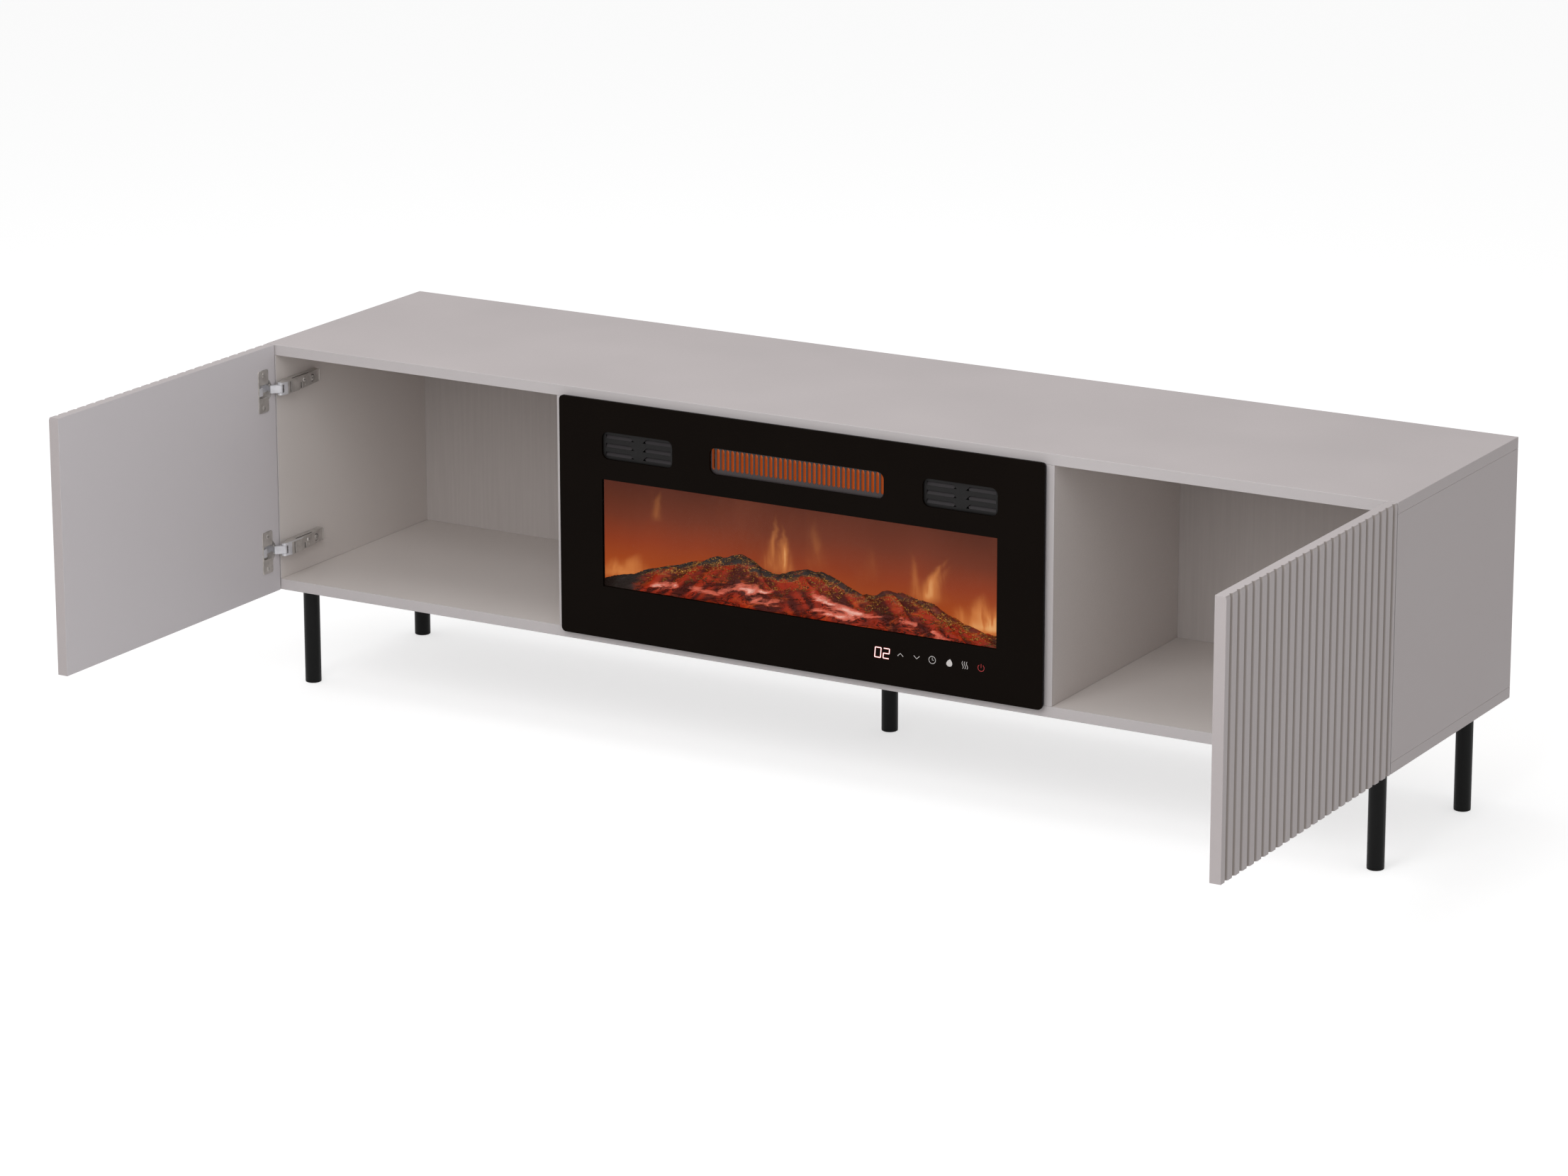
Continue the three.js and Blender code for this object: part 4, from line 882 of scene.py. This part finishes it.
# Log bed: one moulded shell of charred logs, lit from inside
logs = {"columns": 300, "rows": 44, "front": 0.3, "ridge": 0.56, "backDrop": 0.42, "backCurve": 1.5,
        "peak": -105, "lean": 0.30, "turnOver": 45, "foldSize": 0.062, "foldRun": 0.009, "fold": 7.0,
        "foldRest": 0.75, "splitSize": 0.16, "splitRun": 0.022, "split": 2.6, "splitRest": 0.6,
        "barkSize": 0.42, "barkRun": 0.09, "bark": 0.8, "frontFade": 4, "backFade": 5, "endFade": 14,
        "ceiling": 0.8, "lowest": 3, "foldShare": 0.6, "seeds": (3.7, 8.2, 1.3)}
# Points of the outline that the logs make against the flames, from left to right
skyline = [(-352, 80), (-340, 88), (-318, 95), (-295, 100), (-239, 116), (-204, 127), (-167, 139),
           (-118, 150), (-106, 146), (-84, 133), (-66, 130), (-46, 133), (-14, 143), (8, 143), (34, 135),
           (66, 128), (99, 123), (117, 131), (132, 131), (149, 127), (191, 122), (212, 114), (233, 102),
           (252, 95), (291, 92), (352, 82)]


def skylineAt(x):
    for (x0, z0), (x1, z1) in zip(skyline, skyline[1:]):
        if x <= x1:
            return z0 + (z1 - z0) * (x - x0) / (x1 - x0)
    return skyline[-1][1]


def ridged(across, along, level):
    return 1 - 2 * abs(noise.fractal(Vector((along, across, level)), 0.7, 2.0, 2))


mesh = bmesh.new()
bmesh.ops.create_grid(mesh, x_segments=logs["columns"], y_segments=logs["rows"], size=0.5)
riseLayer = mesh.verts.layers.float.new("rise")
creaseLayer = mesh.verts.layers.float.new("crease")
low, high = span("log_bed")
halfLength = high.x
foldSeed, splitSeed, barkSeed = logs["seeds"]
for vert in mesh.verts:
    x = vert.co.x * 2 * halfLength
    share = vert.co.y + 0.5
    y = low.y + share * (high.y - low.y)
    top = skylineAt(x) - low.z
    if share < logs["ridge"]:
        level = logs["front"] + (1 - logs["front"]) * math.sin(share / logs["ridge"] * math.pi / 2)
    else:
        level = 1 - logs["backDrop"] * ((share - logs["ridge"]) / (1 - logs["ridge"])) ** logs["backCurve"]
    # Long folds run down to the front on both sides of the highest log
    lean = logs["lean"] * math.tanh((x - logs["peak"]) / logs["turnOver"])
    across = y + lean * (x - logs["peak"])
    fold = ridged(across * logs["foldSize"], x * logs["foldRun"], foldSeed)
    split = ridged(across * logs["splitSize"], x * logs["splitRun"], splitSeed)
    bark = noise.fractal(Vector((x * logs["barkRun"], across * logs["barkSize"], barkSeed)), 0.8, 2.0, 3)
    edge = min(1, share * logs["frontFade"], (1 - share) * logs["backFade"],
               (halfLength - abs(x)) / logs["endFade"])
    shape = (fold - logs["foldRest"]) * logs["fold"] + (split - logs["splitRest"]) * logs["split"]
    shape = shape + bark * logs["bark"]
    height = max(logs["lowest"], min(top * level + shape * edge, top + logs["ceiling"] * bark))
    vert.co = Vector((x, y, low.z + height))
    vert[riseLayer] = height / top
    vert[creaseLayer] = logs["foldShare"] * fold + (1 - logs["foldShare"]) * split
rim = [edge for edge in mesh.edges if edge.is_boundary]
for vert in vertsOf(bmesh.ops.extrude_edge_only(mesh, edges=rim)["geom"]):
    vert.co.z = low.z
    vert[riseLayer] = 0

# Hottest streaks on the front of the logs: where each starts and stops, its width and its strength
hotStreaks = [(-256, 0.60, -208, 0.56, 0.07, 1.0), (-196, 0.50, -150, 0.44, 0.07, 0.75),
              (-146, 0.45, -52, 0.72, 0.06, 0.85), (-96, 0.50, -30, 0.48, 0.08, 0.6),
              (4, 0.68, 128, 0.48, 0.08, 1.1), (10, 0.44, 84, 0.42, 0.07, 0.9),
              (146, 0.55, 178, 0.52, 0.09, 0.95), (198, 0.52, 234, 0.46, 0.08, 0.8),
              (-120, 0.80, -70, 0.66, 0.05, 0.45)]


def emberFinish():
    tones = painted({"char": (34, 31, 30), "charLight": (62, 54, 51), "deep": (62, 12, 5),
                     "red": (146, 36, 10), "bright": (186, 74, 22), "hot": (214, 104, 82),
                     "core": (240, 182, 166), "gold": (206, 142, 56), "crack": (30, 9, 5),
                     "burnt": (20, 13, 10), "resin": (40, 12, 8)})
    look = {"turn": 0.2, "streak": (13, 44, 70), "blotch": (34, 60, 96), "vein": (30, 50, 80), "fine": 420,
            "streakShare": 0.6, "red": (0.34, 0.62), "bright": (0.5, 0.75), "brightShare": 0.7,
            "wander": 0.35, "fadeIn": (-0.12, 0.14), "fadeOut": (0.86, 1.12), "drift": 3.2,
            "hot": (0.42, 0.86),
            "core": (0.86, 1.25), "hotShare": 0.85, "crack": (0.006, 0.034), "crackInHot": 0.25,
            "leftEnd": (-288, -258), "rightEnd": (262, 312), "rightShare": 0.75, "endWander": 60,
            "top": (0.84, 0.95), "topWander": (0.5, 0.25), "bareTo": 240, "bare": 0.4, "seam": (0.002, 0.016),
            "seamRise": (0.55, 0.8), "seamBreaks": (0.42, 0.6), "rimBreaks": (0.46, 0.58), "rimShare": 0.35,
            "depth": 0.002}
    finish, place = newFinish("emberResin")
    across, _, _ = carcassParts(place)
    rise = place.node("ShaderNodeAttribute", {"attribute_name": "rise"}, out="Fac")
    crease = place.node("ShaderNodeAttribute", {"attribute_name": "crease"}, out="Fac")
    turned = scaled(place, (1, 1, 1), (0, look["turn"], 0))
    streak = cloud(scaled(turned, look["streak"]), 1, 5, 0.6, 0.9)
    blotch = cloud(scaled(turned, look["blotch"]), 1, 4, 0.6, 0.6)
    vein = abs(cloud(scaled(turned, look["vein"]), 1, 4, 0.6, 1.4) - 0.5)
    fine = cloud(place, look["fine"], 4, 0.65)
    # Red glow through the thinner places
    thin = streak * look["streakShare"] + crease * (1 - look["streakShare"])
    red = blend(spread(thin, *look["red"]), tones["deep"], tones["red"])
    red = blend(spread(blotch, *look["bright"]) * look["brightShare"], red, tones["bright"])
    # The hottest streaks low on the front
    seat = 0
    for start, startRise, stop, stopRise, width, strength in hotStreaks:
        along = (across - start) / (stop - start)
        line = startRise + along * (stopRise - startRise)
        offset = (rise - line + look["wander"] * (streak - 0.5)) / width
        body = place.maths("EXPONENT", offset * offset * -1.0)
        seat = seat + body * spread(along, *look["fadeIn"]) * (1 - spread(along, *look["fadeOut"])) * strength
    warmth = seat + look["drift"] * ((streak + blotch) * 0.5 - 0.5)
    hot = spread(warmth, *look["hot"])
    glow = blend(hot * look["hotShare"], red, tones["hot"])
    glow = blend(spread(warmth, *look["core"]) * look["hotShare"], glow, tones["core"])
    crack = 1 - spread(vein, *look["crack"])
    glow = blend(crack * (1 - hot * (1 - look["crackInHot"])), glow, tones["crack"])
    # Charred tops, and both ends where the light does not reach
    wandering = across + look["endWander"] * (blotch - 0.5)
    leftEnd = 1 - spread(wandering, *look["leftEnd"])
    rightEnd = spread(wandering, *look["rightEnd"])
    coarseWander, fineWander = look["topWander"]
    top = spread(rise + coarseWander * (blotch - 0.5) + fineWander * (fine - 0.5), *look["top"])
    burnt = top * (1 - look["bare"] * spread(across, 0, look["bareTo"])) + leftEnd
    burnt = place.maths("MINIMUM", burnt + rightEnd * look["rightShare"], 1.0)
    # Gold seams in the bark and a broken gold rim below the charred tops
    seam = (1 - spread(vein, *look["seam"])) * spread(rise, *look["seamRise"])
    seam = seam * spread(fine, *look["seamBreaks"])
    rimLine = 4 * top * (1 - top) * spread(fine, *look["rimBreaks"])
    seam = place.maths("MINIMUM", seam + rimLine * look["rimShare"], 1.0) * (1 - leftEnd)
    lit = blend(seam, blend(burnt, glow, tones["burnt"]), tones["gold"])
    base = blend(burnt, tones["resin"], blend(fine, tones["char"], tones["charLight"]))
    height = streak * 0.5 + fine * 0.2 + spread(vein, 0, 0.05) * 0.5
    return coated(finish, place, Base_Color=base, Roughness=spread(fine, 0.3, 0.7, 0.4, 0.62),
                  Specular_IOR_Level=0.2, Emission_Color=lit, Emission_Strength=1.0,
                  Normal=relief(height, look["depth"], 0.8))


barkTurn = 70
finished("charred_logs", mesh, "cabinet", [emberFinish()], ("log_bed",), barkTurn)
print("stage: logs")

# Flame picture: a warm glow with tongues of flame above the logs
# Each tongue has its foot, its lowest and highest point, width, lean to the right and strength
tongues = [(-88, 124, 212, 10, 10, 0.34), (-64, 124, 200, 12, -10, 0.50), (-75, 120, 176, 22, 0, 0.30),
           (164, 112, 186, 13, 34, 0.50), (146, 114, 190, 9, -8, 0.22), (176, 116, 176, 16, 26, 0.26),
           (250, 80, 144, 34, 4, 0.50), (222, 80, 122, 24, -6, 0.38), (272, 82, 130, 22, 6, 0.42),
           (-276, 172, 220, 7, 10, 0.20), (-12, 136, 216, 18, -4, 0.12), (70, 130, 190, 16, 3, 0.07),
           (-318, 82, 122, 34, 18, 0.42), (-348, 78, 112, 24, 8, 0.36)]


def flameFinish():
    glowStops = [(0.0, paint(188, 92, 40)), (0.2, paint(172, 76, 32)), (0.4, paint(150, 64, 36)),
                 (0.62, paint(120, 58, 40)), (0.82, paint(100, 51, 37)), (1.0, paint(86, 45, 36))]
    tones = painted({"board": (26, 14, 11), "smoke": (150, 84, 58), "tongue": (238, 152, 84),
                     "heart": (252, 204, 140)})
    look = {"glowLow": 62, "drift": 0.16, "sides": 0.1, "sidesFrom": (120, 340), "sidesRise": (120, 240),
            "middle": 20, "sway": 44, "thinnest": 0.02, "taper": 0.9, "leastWidth": 1.0, "softness": -1.3,
            "foot": (-0.12, 0.16), "tip": (0.42, 1.0), "lick": (0.36, 0.62), "lickRange": (0.5, 1.3),
            "smoke": (0.5, 0.8), "smokeShare": 0.14, "heart": (0.55, 1.0), "heartShare": 0.5, "glow": 0.88}
    finish, place = newFinish("flamePicture")
    across, _, up = carcassParts(place)
    drift = cloud(scaled(place, (9, 9, 7)), 1)
    smoke = cloud(scaled(place, (26, 26, 8)), 1, 4, 0.55, 0.8)
    level = (up - look["glowLow"]) / (span("flame_screen")[1].z - look["glowLow"])
    level = level + look["drift"] * (drift - 0.5)
    beside = spread(abs(across - look["middle"]), *look["sidesFrom"])
    level = level + look["sides"] * beside * spread(up, *look["sidesRise"])
    glow = level.node("ShaderNodeValToRGB", {"stops": glowStops}, {0: level}, "Color")
    sway = (cloud(scaled(place, (12, 12, 26)), 1, 3) - 0.5) * look["sway"]
    lick = cloud(scaled(place, (60, 60, 13)), 1, 3, 0.5, 1.0)
    total = 0
    for foot, base, tip, width, lean, strength in tongues:
        share = (up - base) / (tip - base)
        climb = place.maths("MAXIMUM", share, 0.0)
        centre = foot + lean * climb * climb + sway * climb
        narrow = place.maths("MAXIMUM", 1 - climb, look["thinnest"]) ** look["taper"]
        offset = (across - centre) / (narrow * width + look["leastWidth"])
        body = place.maths("EXPONENT", offset * offset * look["softness"])
        total = total + body * spread(share, *look["foot"]) * (1 - spread(share, *look["tip"])) * strength
    total = place.maths("MINIMUM", total * spread(lick, *look["lick"], *look["lickRange"]), 1.0)
    picture = blend(spread(smoke, *look["smoke"]) * look["smokeShare"], glow, tones["smoke"])
    picture = blend(total, picture, tones["tongue"])
    picture = blend(spread(total, *look["heart"]) * look["heartShare"], picture, tones["heart"])
    return coated(finish, place, Base_Color=tones["board"], Specular_IOR_Level=0.1,
                  Roughness=spread(drift, 0.3, 0.7, 0.6, 0.75), Emission_Color=picture,
                  Emission_Strength=look["glow"])


repaint("flame_screen", flameFinish())
print("stage: flames")


# Heating element: glowing fins between two rails
heater = {"edge": 0.3, "finPitch": 3.4, "fin": 0.9, "finStart": 0.3, "finDepth": 4.5, "rail": 3, "end": 4}


def heaterFinish():
    tones = painted({"block": (96, 44, 18), "dark": (158, 64, 14), "light": (180, 76, 18),
                     "rail": (214, 130, 84)})
    finish, place = newFinish("heatingBlock")
    _, _, up = carcassParts(place)
    low, high = span("heating_element")
    share = (up - low.z) / (high.z - low.z)
    blush = cloud(scaled(place, (60, 60, 20)), 1, 3)
    tone = blend(spread(blush, 0.3, 0.7), tones["dark"], tones["light"])
    # Painted highlight: the glow turns paler towards the top and bottom ends, standing in for glints there
    tone = blend(spread(abs(share - 0.5), 0.3, 0.5, 0.0, 0.8), tone, tones["rail"])
    return coated(finish, place, Base_Color=tones["block"], Emission_Color=tone, Emission_Strength=0.72,
                  Roughness=spread(blush, 0.3, 0.7, 0.5, 0.6), Normal=relief(blush, 0.0005))


def addFins(mesh, low, high):
    fins = int((high.x - low.x - 2 * heater["end"]) / heater["finPitch"])
    half = heater["fin"] / 2
    for number in range(fins):
        x = (number - (fins - 1) / 2) * heater["finPitch"]
        block(mesh, (x - half, low.y + heater["finStart"], low.z + heater["rail"]),
              (x + half, low.y + heater["finDepth"], high.z - heater["rail"]))


dressed("heating_element", heater["edge"], [heaterFinish()], extra=addFins, ending="_finned")

# Sheet metal box, brackets and the parts inside: node, edge, slot and finish
for node, edge, slot, finish in (
        ("casing", 0.3, "zinc_sheet_steel", zinc),
        ("blower_housing", 0.3, "zinc_sheet_steel", zinc),
        ("right_fixing_bracket", 0.4, "zinc_sheet_steel", zinc),
        ("left_fixing_bracket", 0.4, "zinc_sheet_steel", zinc),
        ("blower_wheel", 0.2, "black_plastic", blackPlastic),
        ("control_board", 0.2, "circuit_board", circuit),
        ("ember_light_board", 0.2, "circuit_board", circuit),
        ("flame_rotor", 0.35, "motor_steel", motorSteel),
        ("flame_motor", 0.35, "motor_steel", motorSteel),
        ("blower_motor", 0.35, "motor_steel", motorSteel)):
    dressed(node, edge, [finish])

cover = {"edge": 0.3, "screwInset": 9, "screwRadius": 3.4, "screwHeight": 1.4, "columns": 4}


def addCoverScrews(mesh, low, high):
    inset = cover["screwInset"]
    for up in (low.z + inset, high.z - inset):
        for column in range(cover["columns"]):
            x = low.x + inset + column / (cover["columns"] - 1) * (high.x - low.x - 2 * inset)
            crossScrew(mesh, (x, high.y, up), axisY, cover["screwRadius"], cover["screwHeight"])


dressed("rear_cover", cover["edge"], [zinc, recessShade], extra=addCoverScrews)
dressed("power_inlet", 0.25, [blackPlastic])
print("stage: inside")

# Floor, world and lamps. The camera sees floor and world lighter than they light the object
studio = {"floorShade": (206, 206, 206), "floorSize": 30, "floorLift": 0.6, "world": 0.56}
mesh = bmesh.new()
bmesh.ops.create_grid(mesh, x_segments=2, y_segments=2, size=studio["floorSize"])
data = bpy.data.meshes.new("floor")
mesh.to_mesh(data)
mesh.free()
floor = bpy.data.objects.new("floor", data)
scene.collection.objects.link(floor)
white = (1, 1, 1, 1)
floorFinish, place = newFinish("floor")
seen = place.node("ShaderNodeLightPath", out="Is Camera Ray")
whole = place.maths("MINIMUM", seen + seen.also("Is Glossy Ray") + seen.also("Is Transmission Ray"), 1.0)
matte = place.node("ShaderNodeBsdfDiffuse", inputs={"Color": paint(*studio["floorShade"])})
lift = place.node("ShaderNodeEmission", inputs={"Color": white, "Strength": studio["floorLift"]})
both = place.node("ShaderNodeAddShader", inputs={0: matte, 1: lift})
shader = place.node("ShaderNodeMixShader", inputs={0: whole, 1: matte, 2: both})
data.materials.append(close(floorFinish, shader))

world = bpy.data.worlds.new("studio")
scene.world = world
world.use_nodes = True
world.node_tree.nodes.clear()
rays = Signal(world.node_tree).node("ShaderNodeLightPath", out="Is Camera Ray")
seen = rays.maths("MINIMUM", rays + rays.also("Is Transmission Ray"), 1.0)
strength = studio["world"] + (1 - studio["world"]) * seen
glow = rays.node("ShaderNodeBackground", inputs={"Color": white, "Strength": strength})
rays.node("ShaderNodeOutputWorld", inputs={"Surface": glow})

middle = (-0.1, 0.1, 0.3)
for name, spot, aim, size, power in (
        ("key", (0.35, -2.4, 2.2), middle, 2.2, 40),
        ("above", (-0.8, 0.3, 3.4), middle, 2.6, 24),
        ("side", (4.5, -2.5, 2.6), (0, 0.1, 0.3), 2.6, 14)):
    data = bpy.data.lights.new(name, "AREA")
    data.shape = "SQUARE"
    data.size = size
    data.energy = power
    lamp = bpy.data.objects.new(name, data)
    scene.collection.objects.link(lamp)
    lamp.location = spot
    lamp.rotation_euler = (Vector(aim) - Vector(spot)).to_track_quat("-Z", "Y").to_euler()

scene.view_settings.view_transform = "Standard"

print("stage: done")
